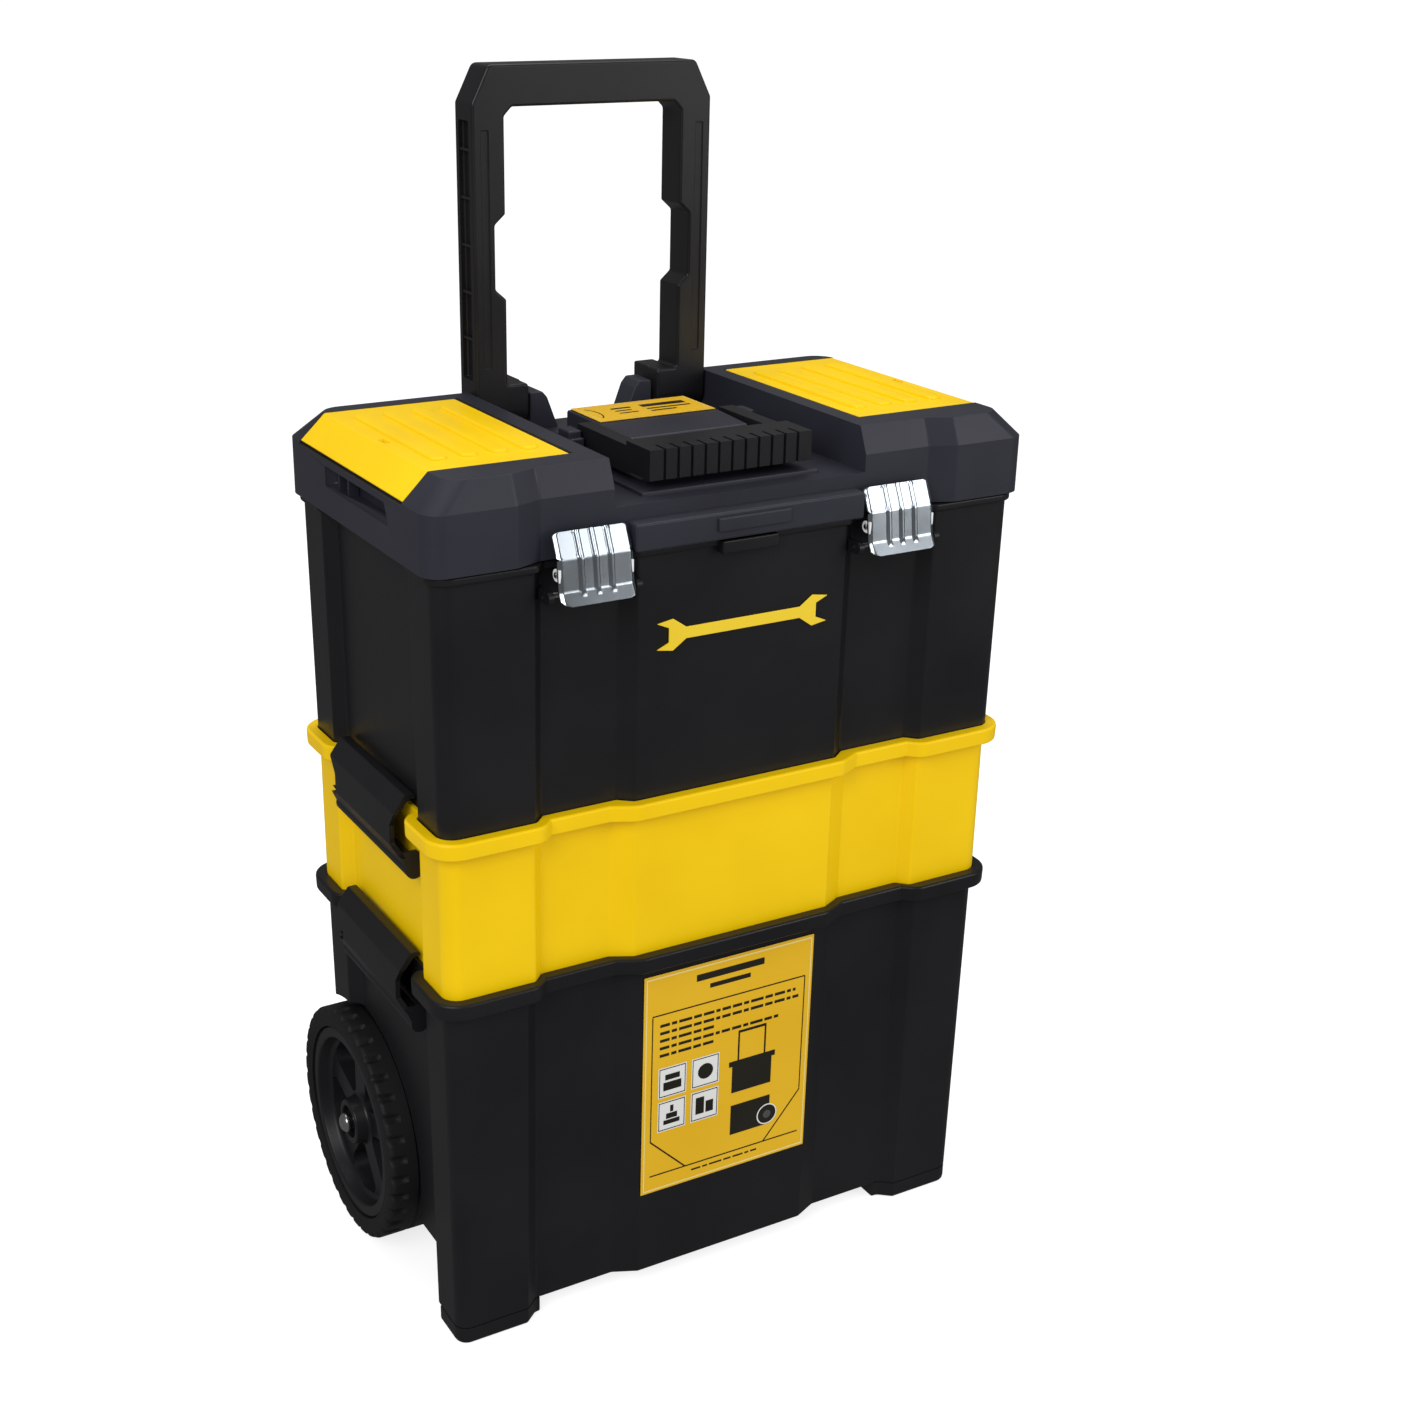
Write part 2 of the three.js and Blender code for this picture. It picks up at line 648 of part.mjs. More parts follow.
// A ribbed organizer lid with a sloped outer flap and hinge stubs at its inner edge.
function organizerLid(side) {
  const { inner, flat, outer, front, rear, thick } = ORGANIZER;
  const top = LID.top - 0.3;
  const profile = [
    [inner, top - thick],
    [flat - 0.4, top - thick],
    [outer - 1.2, LID.crease - 0.2],
    [outer, LID.crease + 1.2],
    [flat + 0.5, top],
    [inner, top],
  ];
  const ribs = [0, 1, 2, 3].map((i) => {
    const x = 122 + i * 21;
    return sideBox(side, x, x + 12, -62, 72, top - 1, top + 1.5);
  });
  return join(
    prismY(onSide(side, profile), front, rear),
    barY(side * ORGANIZER_HINGE.x, front - 4, rear + 4, ORGANIZER_HINGE.z, 1.5, 12),
    ...ribs,
  );
}

// The carry handle: a crossbar and two arms with stubs that turn in the ears.
function carryHandle() {
  const { halfX, armX, front, rear, pivotZ, top, bottom } = CARRY;
  const bar = box(-halfX, halfX, front, rear, bottom, top);
  const arms = SIDES.flatMap(([, side]) => [
    sideBox(side, armX, halfX, rear - 1, 0, pivotZ - 7.4, 626),
    sideBarX(side, armX, halfX, 0, pivotZ, 7.4, 20),
    sideBox(side, armX, halfX, -8, 2, pivotZ, 626),
    sideBarX(side, halfX - 1, 68.6, 0, pivotZ, 3),
  ]);
  return join(bar, ...arms);
}

// The U-shaped pull handle, upright: its arms are cut back on the inside to clear the carry handle's ears.
function pullHandle() {
  const { y, z, halfX, halfDepth, armX, top, barBottom } = PULL;
  const notch = { low: z + 78, high: z + 136, x: 77 };
  const footX = 52.5;
  const half = [
    [halfX, z],
    [halfX, top - 25],
    [halfX - 12.8, top],
  ];
  const inner = [
    [footX, z],
    [footX, z + 18],
    [armX, z + 18],
    [armX, notch.low],
    [notch.x, notch.low + 7],
    [notch.x, notch.high - 7],
    [armX, notch.high],
    [armX, barBottom - 6],
    [armX - 6, barBottom],
  ];
  const flip = (points) => points.map(([x, height]) => [-x, height]);
  const outline = [...half, ...flip(half).reverse(), ...flip(inner), ...[...inner].reverse()];
  const frame = prismY(outline, y - halfDepth, y + halfDepth);
  const feet = SIDES.flatMap(([, side]) => [
    sideBarX(side, footX, halfX, y, z, halfDepth, 24),
    sideBox(side, footX, armX, y, y + 22, z + 2, z + 18),
  ]);
  const cuts = SIDES.flatMap(([, side]) => [
    sideBox(side, halfX - 4, halfX + 2, y - 8, y + 8, z + 22, top - 36),
    sideBarX(side, footX - 2, halfX + 2, y, z, 4 + GAP),
  ]);
  return cut(join(frame, ...feet), ...cuts);
}

// ---- Latches ---------------------------------------------------------------------------------
// A strip of sheet metal that follows [y, z] points, bent at each, swept along X.
function sheet(points, thickness, x0, x1) {
  const inside = points.map(([y, z]) => [y + thickness, z]);
  return prismX([...points, ...inside.reverse()].reverse(), x0, x1);
}

function latchPlate(side) {
  const [x0, x1] = [LATCH.centre - LATCH.halfX, LATCH.centre + LATCH.halfX];
  const place = (a, b, make) => (side > 0 ? make(a, b) : make(-b, -a));
  const face = [
    [-120, 592],
    [-127.5, 576],
    [-130, 556],
    [-135.2, 548],
  ];
  const plate = place(x0, x1, (a, b) => sheet(face, LATCH.sheet, a, b));
  const cheeks = [x0, x1 - LATCH.sheet].map((x) =>
    join(
      sideBox(side, x, x + LATCH.sheet, -128.4, LATCH.upperY, LATCH.upperZ - 4, LATCH.upperZ + 4),
      sideBarX(side, x, x + LATCH.sheet, LATCH.upperY, LATCH.upperZ, 4, 12),
    ),
  );
  return cut(join(plate, ...cheeks), sideBarX(side, 70, 160, LATCH.upperY, LATCH.upperZ, 1.8 + GAP, 12));
}

function latchLink(side) {
  const [x0, x1] = [LATCH.centre - 20, LATCH.centre + 20];
  const eyes = join(
    sideBarX(side, x0, x1, LATCH.pinY, LATCH.pinZ, 3.2, 12),
    sideBarX(side, x0, x1, LATCH.upperY, LATCH.upperZ, 3.2, 12),
  );
  const web = prismX(
    [
      [LATCH.pinY - 2.6, LATCH.pinZ],
      [LATCH.pinY - 1, LATCH.pinZ],
      [LATCH.upperY - 1, LATCH.upperZ],
      [LATCH.upperY - 2.6, LATCH.upperZ],
    ],
    side > 0 ? x0 : -x1,
    side > 0 ? x1 : -x0,
  );
  const holes = [
    sideBarX(side, 70, 160, LATCH.pinY, LATCH.pinZ, 1.8 + GAP, 12),
    sideBarX(side, 70, 160, LATCH.upperY, LATCH.upperZ, 1.8 + GAP, 12),
  ];
  return cut(join(eyes, web), ...holes);
}

// ---- Labels ----------------------------------------------------------------------------------
// A thin sticker on the bin's middle panel, which leans with the wall.
function binLabel() {
  const wallHeight = BIN.rimTop - RIM_HEIGHT + 1 - BIN_FLOOR;
  const face = (z) => -BIN.halfY + BIN_TAPER * (1 - (z - BIN_FLOOR) / wallHeight);
  const [low, high] = [81, 261];
  const profile = [
    [face(low) - 0.3, low],
    [face(high) - 0.3, high],
    [face(high) - 1, high],
    [face(low) - 1, low],
  ];
  return prismX(profile, -70.5, 70.5);
}

const lidLabel = () => box(-45.5, 45.5, -1, 43, 625.3, 626);

// A plain yellow spanner on the front of the tool box.
function frontEmblem() {
  const face = -BOX.halfY + 0.5;
  const z = 511;
  const points = [
    [-66, z + 9],
    [-57, z + 5],
    [-57, z - 5],
    [-66, z - 9],
    [-54, z - 11],
    [-44, z - 4],
    [44, z - 4],
    [54, z - 11],
    [66, z - 9],
    [57, z - 5],
    [57, z + 5],
    [66, z + 9],
    [54, z + 11],
    [44, z + 4],
    [-44, z + 4],
    [-54, z + 11],
  ];
  return prismY(points, face - 1.4, face - 0.4);
}

// ---- Assembly --------------------------------------------------------------------------------
const meshes = [
  mesh("lower_bin", lowerBin(), BLACK),
  mesh("axle", barX(-229.4, 229.4, WHEEL.y, WHEEL_Z, AXLE_RADIUS, 24), STEEL),
  mesh("bin_label", binLabel(), LABEL),
  mesh("tote_tray", toteTray(), YELLOW),
  mesh("tool_box_body", toolBoxBody(), BLACK),
  mesh("front_emblem", frontEmblem(), YELLOW),
  mesh("inner_tray", innerTray(), BLACK),
  mesh("lid", lid(), CHARCOAL),
  mesh("lid_label", lidLabel(), LABEL),
  mesh("carry_handle", carryHandle(), BLACK),
  mesh("pull_handle", pullHandle(), BLACK),
];

for (const [name, side] of SIDES)
  meshes.push(
    mesh("wheel_" + name, wheel(side), BLACK),
    mesh("tyre_" + name, tyre(side), TYRE),
    mesh("axle_cap_" + name, axleCap(side), STEEL),
    mesh("clip_lower_" + name, clip(side, BIN.rimTop), BLACK),
    mesh("clip_upper_" + name, clip(side, TRAY.rimTop), BLACK),
    mesh("organizer_" + name, organizerLid(side), YELLOW),
    mesh("lid_hinge_pin_" + name, sideBarX(side, 124, 176, LID_HINGE.y, LID_HINGE.z, 2.3, 12), STEEL),
    mesh("pull_handle_pin_" + name, sideBarX(side, 39, 105, PULL.y, PULL.z, 4, 16), STEEL),
    mesh("latch_plate_" + name, latchPlate(side), ZINC),
    mesh("latch_link_" + name, latchLink(side), ZINC),
    mesh("latch_lower_pin_" + name, sideBarX(side, 83.5, 148.5, LATCH.pinY, LATCH.pinZ, 1.8, 12), STEEL),
    mesh("latch_upper_pin_" + name, sideBarX(side, 89, 143, LATCH.upperY, LATCH.upperZ, 1.8, 12), STEEL),
  );

const group = new THREE.Group();
const placed = new THREE.Group();
placed.position.y = -(FRONT_MOST + REAR_MOST) / 2;
placed.add(...meshes);
group.add(placed);

export default group;
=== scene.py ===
"""Looks of the rolling tool box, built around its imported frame. Lengths here are millimetres."""
import json
import math

import bmesh
import bpy
from mathutils import Matrix, Vector


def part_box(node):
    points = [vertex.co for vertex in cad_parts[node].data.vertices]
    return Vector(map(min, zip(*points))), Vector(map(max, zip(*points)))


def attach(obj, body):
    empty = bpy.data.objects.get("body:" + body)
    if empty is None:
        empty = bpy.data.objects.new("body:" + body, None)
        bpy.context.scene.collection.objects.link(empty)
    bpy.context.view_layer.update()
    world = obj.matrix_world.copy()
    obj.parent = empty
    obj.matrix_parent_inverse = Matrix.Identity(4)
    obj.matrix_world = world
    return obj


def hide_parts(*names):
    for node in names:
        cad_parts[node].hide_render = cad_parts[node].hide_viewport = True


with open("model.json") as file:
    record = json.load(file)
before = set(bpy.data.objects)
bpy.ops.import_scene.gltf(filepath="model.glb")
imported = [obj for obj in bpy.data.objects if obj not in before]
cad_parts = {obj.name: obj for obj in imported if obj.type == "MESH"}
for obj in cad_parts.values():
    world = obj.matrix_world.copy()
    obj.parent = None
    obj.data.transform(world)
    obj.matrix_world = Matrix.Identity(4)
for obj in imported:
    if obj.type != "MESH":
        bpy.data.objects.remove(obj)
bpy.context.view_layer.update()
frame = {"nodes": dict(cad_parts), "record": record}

# ---- Driving dimensions, the same as the frame's ---------------------------------------------------
WALL = 3
GAP = 0.4
OUTSIDE = 240  # past every side wall
OVERHEAD = 645  # above the lid
CORNER = 12  # radius of the body corners
FILLET = 3.5  # radius of the steps between panels
LEAST_FILLET = 0.8
SLOPE_SHIFT = 0.41  # how far a panel's edge moves along the wall as the wall moves out by 1
RECESS = 8
SIDE = 66
SIDE_SLOPE = 8
BIN_TAPER = 2.5
BOX_TAPER = 1.4
RIM_OUT = 9.4
RIM_HEIGHT = 12
SEAT_DEPTH = 3.5

BIN = dict(x=217.5, y=114, floor=13, top=281.5, panel=72, panel_slope=18, column=160, column_slope=10)
TRAY = dict(x=218.1, y=114.6, top=398, panel=79, panel_slope=16, column=154, column_slope=8)
BOX = dict(x=219.9, y=116.4, top=572, panel=80, panel_slope=10, column=153, column_slope=8)
BOX_FOOT = dict(BOX, x=BOX["x"] - BOX_TAPER, y=BOX["y"] - BOX_TAPER)
TRAY_BOTTOM = BIN["top"] - SEAT_DEPTH + GAP
BOX_BOTTOM = TRAY["top"] - SEAT_DEPTH + GAP

WHEEL = dict(y=65, z=89.5, radius=89.5, inner=181.5, outer=227.5, hub=74)
AXLE_RADIUS = 5
WELL = dict(radius=97, inner=178, front=-62, top=52)
CHANNEL = dict(front=48, top=106, half=172)

LID = dict(x=226, y=120, bottom=572.8, deck=600, crease=612, top=630, block=95.1)
LID_INSET = dict(front=8, outer=18, rear=14)
LATCH_FACE = 112.5
FLANK = (147, 166)
PANEL = dict(x=86.7, y=-126, top=591)
HINGE = dict(y=122, z=571, centre=150, radius=5)
ORGANIZER = dict(inner=110.8, flat=207, outer=225, front=-82.5, rear=92, well=589, thick=2.6)
STUB = dict(x=112.7, z=626.6)
CARRY = dict(x=61.5, arm=50, front=-97, rear=-66, pivot=614.5, top=629, bottom=609)
PULL = dict(y=107, z=617, x=93.3, half=14, arm=69, top=851, bar=823.5)
CLIP = dict(waist=49, head=57, foot=63.3, pivot=217, down=42, barrel=6.4, stub=2.4)
CLIP_NOTCH = dict(half=65, depth=15, keep=3.8)
CLIP_LUG = dict(near=56.5, far=60.5, radius=4.4, room=0.5)
PIN = dict(hinge=2.3, latch=1.8, pull=4, stub=1.5)  # radii
LATCH = dict(centre=116, half=26.5, pin=(-120, 552), upper=(-123.5, 566), sheet=1.4)
LATCH_FACE_POINTS = [(-120, 592), (-127.5, 576), (-130, 556), (-135.2, 548)]  # [y, z] down its face

# ---- Detail that only the looks have ---------------------------------------------------------------
TREAD_BLOCKS = 36
TREAD_DEPTH = 2.6
SPOKES = 5
DISC_FACE = 215  # x of the wheel's outer face
POCKET_FLOOR = 204  # x of the floor of the hollows in it
LATCH_RIBS = (-10.5, 0, 10.5)
RIB_RELIEF = 1.9
LATCH_COLUMNS = 106
RIDGES = 4
GROOVES = 11
HANDLE_RIBS = 5
PRINT_GAP = 0.12
BIN_LABEL = dict(x=-70.5, top=261, wide=141, tall=180)
LID_LABEL = dict(x=-45.5, rear=43, wide=91, tall=44, top=626)

axle_low, axle_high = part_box("axle")
SHIFT = 500 * (axle_low.y + axle_high.y) - WHEEL["y"]  # from the plan's own centre to the frame's
SIDES = (("left", -1), ("right", 1))

BODY = {node: body for body, nodes in frame["record"]["behaviour"]["bodies"].items() for node in nodes}
SLOT = {part["node"]: part["material_slot"] for part in frame["record"]["subparts"]}


# ---- Outlines -------------------------------------------------------------------------------------
def rounded(points, radii, steps=4, closed=True):
    """The outline through the points with each corner made an arc; steps is one count, or one each."""
    count = len(points)
    outline = []
    for i, (point, radius) in enumerate(zip(points, radii)):
        if radius <= 0 or (not closed and i in (0, count - 1)):
            outline.append(tuple(point))
            continue
        corner = Vector(point)
        before = Vector(points[i - 1]) - corner
        after = Vector(points[(i + 1) % count]) - corner
        half = before.angle(after) / 2
        reach = min(radius / math.tan(half), 0.49 * before.length, 0.49 * after.length)
        bisector = (before.normalized() + after.normalized()).normalized()
        centre = corner + bisector * reach / math.cos(half)
        start = corner + before.normalized() * reach - centre
        turn = math.pi - 2 * half
        if before.x * after.y - before.y * after.x > 0:
            turn = -turn
        each = steps[i] if isinstance(steps, (list, tuple)) else steps
        for step in range(each + 1):
            outline.append(tuple(centre + Matrix.Rotation(turn * step / each, 2) @ start))
    return outline


def plan(unit, grow=0.0):
    """A unit's plan: corner columns, recessed panels and a proud middle panel, moved outwards by grow."""
    x = unit["x"] + grow
    y = -unit["y"] - grow
    shift = grow * SLOPE_SHIFT
    panel, column = unit["panel"] + shift, unit["column"] - shift
    quarter = [
        (panel, y),
        (panel + unit["panel_slope"], y + RECESS),
        (column - unit["column_slope"], y + RECESS),
        (column, y),
        (x, y),
        (x, shift - SIDE - SIDE_SLOPE),
        (x - RECESS, shift - SIDE),
    ]
    convex, concave = max(FILLET + grow, LEAST_FILLET), max(FILLET - grow, LEAST_FILLET)
    radii = [convex, concave, concave, convex, CORNER + grow, convex, concave]
    steps = [3, 3, 3, 3, 9, 3, 3]
    radii += radii[::-1]
    steps += steps[::-1]

    def turned(values, sx, sy):
        return [(sx * px, sy * py) for px, py in values]

    points = quarter + turned(quarter, 1, -1)[::-1] + turned(quarter, -1, -1) + turned(quarter, -1, 1)[::-1]
    return rounded(points, radii + radii, steps + steps)


def mirrored(points, side):
    """Outline points for the right side, or their mirror image in the same turning order."""
    return points if side > 0 else [(-x, y) for x, y in points][::-1]


# ---- Meshes ---------------------------------------------------------------------------------------
def build(name, points, faces):
    mesh = bpy.data.meshes.new(name)
    mesh.from_pydata([(x / 1000, (y + SHIFT) / 1000, z / 1000) for x, y, z in points], [], faces)
    shaped = bmesh.new()
    shaped.from_mesh(mesh)
    wide = [f for f in shaped.faces if len(f.verts) > 4]
    bmesh.ops.triangulate(shaped, faces=wide, ngon_method="EAR_CLIP")
    bmesh.ops.recalc_face_normals(shaped, faces=shaped.faces)
    shaped.to_mesh(mesh)
    shaped.free()
    made = bpy.data.objects.new(name, mesh)
    bpy.context.scene.collection.objects.link(made)
    return made


def loft(name, levels):
    """A closed solid through rings of points that all have the same count."""
    count = len(levels[0])
    faces = []
    for level in range(len(levels) - 1):
        for i in range(count):
            a, b = level * count + i, level * count + (i + 1) % count
            faces.append((a, b, b + count, a + count))
    last = (len(levels) - 1) * count
    faces.append(tuple(range(count))[::-1])
    faces.append(tuple(range(last, last + count)))
    return build(name, [point for level in levels for point in level], faces)


def swept(name, unit, profile):
    """A unit's plan at each (grow, z) of the profile."""
    return loft(name, [[(x, y, z) for x, y in plan(unit, grow)] for grow, z in profile])


def prism(name, outline, low, high, axis="z"):
    """An outline pushed from low to high: [x, y] along z, [x, z] along y or [y, z] along x."""
    places = {
        "z": lambda a, b, t: (a, b, t),
        "y": lambda a, b, t: (a, t, b),
        "x": lambda a, b, t: (t, a, b),
    }
    return loft(name, [[places[axis](a, b, t) for a, b in outline] for t in (low, high)])


def block(x0, x1, y0, y1, z0, z1, side=1):
    if side < 0:
        x0, x1 = -x1, -x0
    return prism("block", [(x0, y0), (x1, y0), (x1, y1), (x0, y1)], z0, z1)


def bar(x0, x1, y, z, radius, side=1, steps=32):
    """A round bar along X."""
    if side < 0:
        x0, x1 = -x1, -x0
    angles = [2 * math.pi * i / steps for i in range(steps)]
    return prism("bar", [(y + radius * math.cos(a), z + radius * math.sin(a)) for a in angles], x0, x1, "x")


def bar_y(x, y0, y1, z, radius, steps=20):
    angles = [2 * math.pi * i / steps for i in range(steps)]
    return prism("bar", [(x + radius * math.cos(a), z + radius * math.sin(a)) for a in angles], y0, y1, "y")


def bake(target):
    """Turns an object's modifiers into its mesh."""
    bpy.context.view_layer.update()
    graph = bpy.context.evaluated_depsgraph_get()
    mesh = bpy.data.meshes.new_from_object(target.evaluated_get(graph))
    target.modifiers.clear()
    target.data = mesh
    return target


def combine(operation, target, tools):
    for tool in tools:
        modifier = target.modifiers.new(operation, "BOOLEAN")
        modifier.operation = operation
        modifier.object = tool
        modifier.solver = "MANIFOLD"
    bake(target)
    for tool in tools:
        bpy.data.objects.remove(tool)
    return target


def join(target, *tools):
    return combine("UNION", target, tools)


def cut(target, *tools):
    return combine("DIFFERENCE", target, tools)


def ease(target, width, angle=32, segments=3):
    """Rounds the sharp edges and evens the shading of the flats beside them."""
    if width > 0:
        shaped = bmesh.new()
        shaped.from_mesh(target.data)
        bmesh.ops.remove_doubles(shaped, verts=shaped.verts, dist=2e-6)
        bmesh.ops.dissolve_limit(
            shaped, angle_limit=math.radians(0.6), verts=shaped.verts, edges=shaped.edges, delimit={"NORMAL"}
        )
        shaped.to_mesh(target.data)
        shaped.free()
        rounding = target.modifiers.new("rounding", "BEVEL")
        rounding.limit_method = "ANGLE"
        rounding.angle_limit = math.radians(angle)
        rounding.width = width / 1000
        rounding.segments = segments
        rounding.use_clamp_overlap = True
        rounding.miter_outer = "MITER_ARC"
        bake(target)
    smooth(target, 50)
    return target


def smooth(target, sharp):
    target.data.shade_smooth()
    target.data.set_sharp_from_angle(angle=math.radians(sharp))
    even = target.modifiers.new("even", "WEIGHTED_NORMAL")
    even.keep_sharp = True
    even.weight = 60
    return target


# ---- Materials ------------------------------------------------------------------------------------
def node(tree, kind, **values):
    made = tree.nodes.new(kind)
    for name, value in values.items():
        if name in made.inputs:
            made.inputs[name].default_value = value
        else:
            setattr(made, name, value)
    return made


def shader(name, **values):
    material = bpy.data.materials.new(name)
    material.use_nodes = True
    surface = material.node_tree.nodes["Principled BSDF"]
    for key, value in values.items():
        surface.inputs[key.replace("_", " ")].default_value = value
    return material, material.node_tree, surface


def ramp(tree, source, low, high):
    spread = node(tree, "ShaderNodeMapRange")
    spread.inputs["From Min"].default_value = 0.3
    spread.inputs["From Max"].default_value = 0.7
    spread.inputs["To Min"].default_value = low
    spread.inputs["To Max"].default_value = high
    tree.links.new(source, spread.inputs["Value"])
    return spread.outputs["Result"]


def tint(tree, source, dark, light, target):
    mix = node(tree, "ShaderNodeMix", data_type="RGBA")
    mix.inputs[6].default_value = (*dark, 1)
    mix.inputs[7].default_value = (*light, 1)
    tree.links.new(source, mix.inputs["Factor"])
    tree.links.new(mix.outputs[2], target)


def moulded(name, dark, light, roughness, grain, specular=0.35):
    """Moulded plastic: a fine spark-eroded grain, and slow drifts of shade and gloss."""
    material, tree, surface = shader(name, Specular_IOR_Level=specular)
    place = node(tree, "ShaderNodeTexCoord").outputs["Object"]
    fine = node(tree, "ShaderNodeTexNoise", Scale=1500.0, Detail=2.0, Roughness=0.6)
    slow = node(tree, "ShaderNodeTexNoise", Scale=9.0, Detail=3.0, Roughness=0.55)
    for texture in (fine, slow):
        tree.links.new(place, texture.inputs["Vector"])
    tint(tree, ramp(tree, slow.outputs["Fac"], 0, 1), dark, light, surface.inputs["Base Color"])
    tree.links.new(ramp(tree, slow.outputs["Fac"], roughness[0], roughness[1]), surface.inputs["Roughness"])
    bump = node(tree, "ShaderNodeBump", Strength=grain, Distance=0.00012)
    tree.links.new(fine.outputs["Fac"], bump.inputs["Height"])
    tree.links.new(bump.outputs["Normal"], surface.inputs["Normal"])
    return material


def plated(name, colour, roughness):
    """Zinc plate over pressed sheet: faint rolling lines along its length and cloudy gloss."""
    material, tree, surface = shader(name, Metallic=1.0)
    place = node(tree, "ShaderNodeTexCoord").outputs["Object"]
    stretch = node(tree, "ShaderNodeMapping")
    stretch.inputs["Scale"].default_value = (1, 1, 0.02)
    tree.links.new(place, stretch.inputs["Vector"])
    lines = node(tree, "ShaderNodeTexNoise", Scale=2500.0, Detail=2.0)
    cloud = node(tree, "ShaderNodeTexNoise", Scale=30.0, Detail=2.0)
    tree.links.new(stretch.outputs["Vector"], lines.inputs["Vector"])
    tree.links.new(place, cloud.inputs["Vector"])
    dark = tuple(0.86 * c for c in colour)
    tint(tree, ramp(tree, cloud.outputs["Fac"], 0, 1), dark, colour, surface.inputs["Base Color"])
    tree.links.new(ramp(tree, cloud.outputs["Fac"], roughness[0], roughness[1]), surface.inputs["Roughness"])
    bump = node(tree, "ShaderNodeBump", Strength=0.05, Distance=0.0001)
    tree.links.new(lines.outputs["Fac"], bump.inputs["Height"])
    tree.links.new(bump.outputs["Normal"], surface.inputs["Normal"])
    return material


MATERIALS = {
    "black_plastic": moulded(
        "black_plastic", (0.0075, 0.0075, 0.009), (0.011, 0.011, 0.013), (0.32, 0.44), 0.35
    ),
    "charcoal_plastic": moulded(
        "charcoal_plastic", (0.02, 0.0205, 0.03), (0.027, 0.028, 0.04), (0.36, 0.48), 0.4
    ),
    "yellow_plastic": moulded("yellow_plastic", (0.88, 0.56, 0.0), (0.95, 0.62, 0.0), (0.3, 0.42), 0.2, 0.2),
    "yellow_print": moulded("yellow_print", (0.86, 0.6, 0.02), (0.9, 0.64, 0.03), (0.35, 0.45), 0.15),
    "label": moulded("label", (0.75, 0.43, 0.005), (0.8, 0.47, 0.007), (0.3, 0.42), 0.08, 0.4),
    "tread": moulded("tread", (0.006, 0.006, 0.0065), (0.012, 0.012, 0.013), (0.5, 0.68), 0.9, 0.3),
    "zinc_sheet": plated("zinc_sheet", (0.5, 0.55, 0.6), (0.2, 0.27)),
    "steel": plated("steel", (0.62, 0.62, 0.63), (0.22, 0.34)),
}
INK = moulded("ink", (0.012, 0.01, 0.006), (0.018, 0.015, 0.009), (0.35, 0.45), 0.05)
WHITE_INK = moulded("white_ink", (0.72, 0.72, 0.7), (0.78, 0.78, 0.76), (0.35, 0.45), 0.05)
PALE_INK = moulded("pale_ink", (0.8, 0.62, 0.2), (0.84, 0.66, 0.24), (0.35, 0.45), 0.05)
GREY_INK = moulded("grey_ink", (0.05, 0.05, 0.055), (0.07, 0.07, 0.075), (0.35, 0.45), 0.05)


def install(made, *nodes, name=None):
    """Puts a finished piece in the place of its CAD nodes."""
    slot = SLOT[nodes[0]]
    made.name = name or nodes[0] + "_look"
    made.data.materials.clear()
    made.data.materials.append(MATERIALS[slot])
    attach(made, BODY[nodes[0]])
    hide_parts(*nodes)
    return made


# ---- Bin, tray and box ----------------------------------------------------------------------------
def clip_notch(unit, side):
    half, depth, keep = (CLIP_NOTCH[key] for key in ("half", "depth", "keep"))
    return block(unit["x"] - RECESS + keep, OUTSIDE, -half, half, unit["top"] - depth, unit["top"] + 1, side)


def clip_lugs(unit, side):
    z = unit["top"] - CLIP["down"]
    near, far, radius = CLIP_LUG["near"], CLIP_LUG["far"], CLIP_LUG["radius"]
    lugs = []
    for y0, y1 in ((-far, -near), (near, far)):
        lug = block(unit["x"] - RECESS - 2, CLIP["pivot"], y0, y1, z - radius, z + radius, side)
        join(lug, bar_y(side * CLIP["pivot"], y0, y1, z, radius))
        lugs.append(cut(lug, bar_y(side * CLIP["pivot"], y0 - 1, y1 + 1, z, CLIP["stub"] + GAP)))
    return lugs


def rim_profile(grow, top):
    """From the wall's own grow out to the rim and back in over its top."""
    points = [(grow, top - RIM_HEIGHT), (RIM_OUT - 0.4, top - RIM_HEIGHT), (RIM_OUT, top), (-1, top)]
    return points, [2, 1.4, 2, 0]


def rimmed(name, unit, above, foot, inside_floor, taper):
    """An open unit: its skin and rim, and the solids of its inside and of the seat for the unit above, to be
    cut from it.
    """
    top = unit["top"]
    rim, radii = rim_profile(0, top)
    points = [(-taper - 6, foot), (-taper, foot), *rim]
    skin = swept(name, unit, rounded(points, [0, 3, *radii], 3, closed=False))
    inner = [(-taper - WALL - 5, inside_floor), (-taper - WALL, inside_floor), (-WALL, top + 1)]
    inside = swept("inside", unit, rounded(inner, [0, 3, 0], 3, closed=False))
    seat = swept("seat", above, [(0.8, top - SEAT_DEPTH), (0.8, top + 1)])
    return skin, inside, seat


def wheel_well(side, extra):
    """The room round a wheel, open ahead of it at the bottom; extra is the thickness of its lining."""
    well = bar(WELL["inner"] - extra, OUTSIDE, WHEEL["y"], WHEEL["z"], WELL["radius"] + extra, side, 96)
    inner, front, top = WELL["inner"] - extra, WELL["front"] - extra, WELL["top"] + extra
    return join(well, block(inner, OUTSIDE, front, WHEEL["y"], -5, top, side))


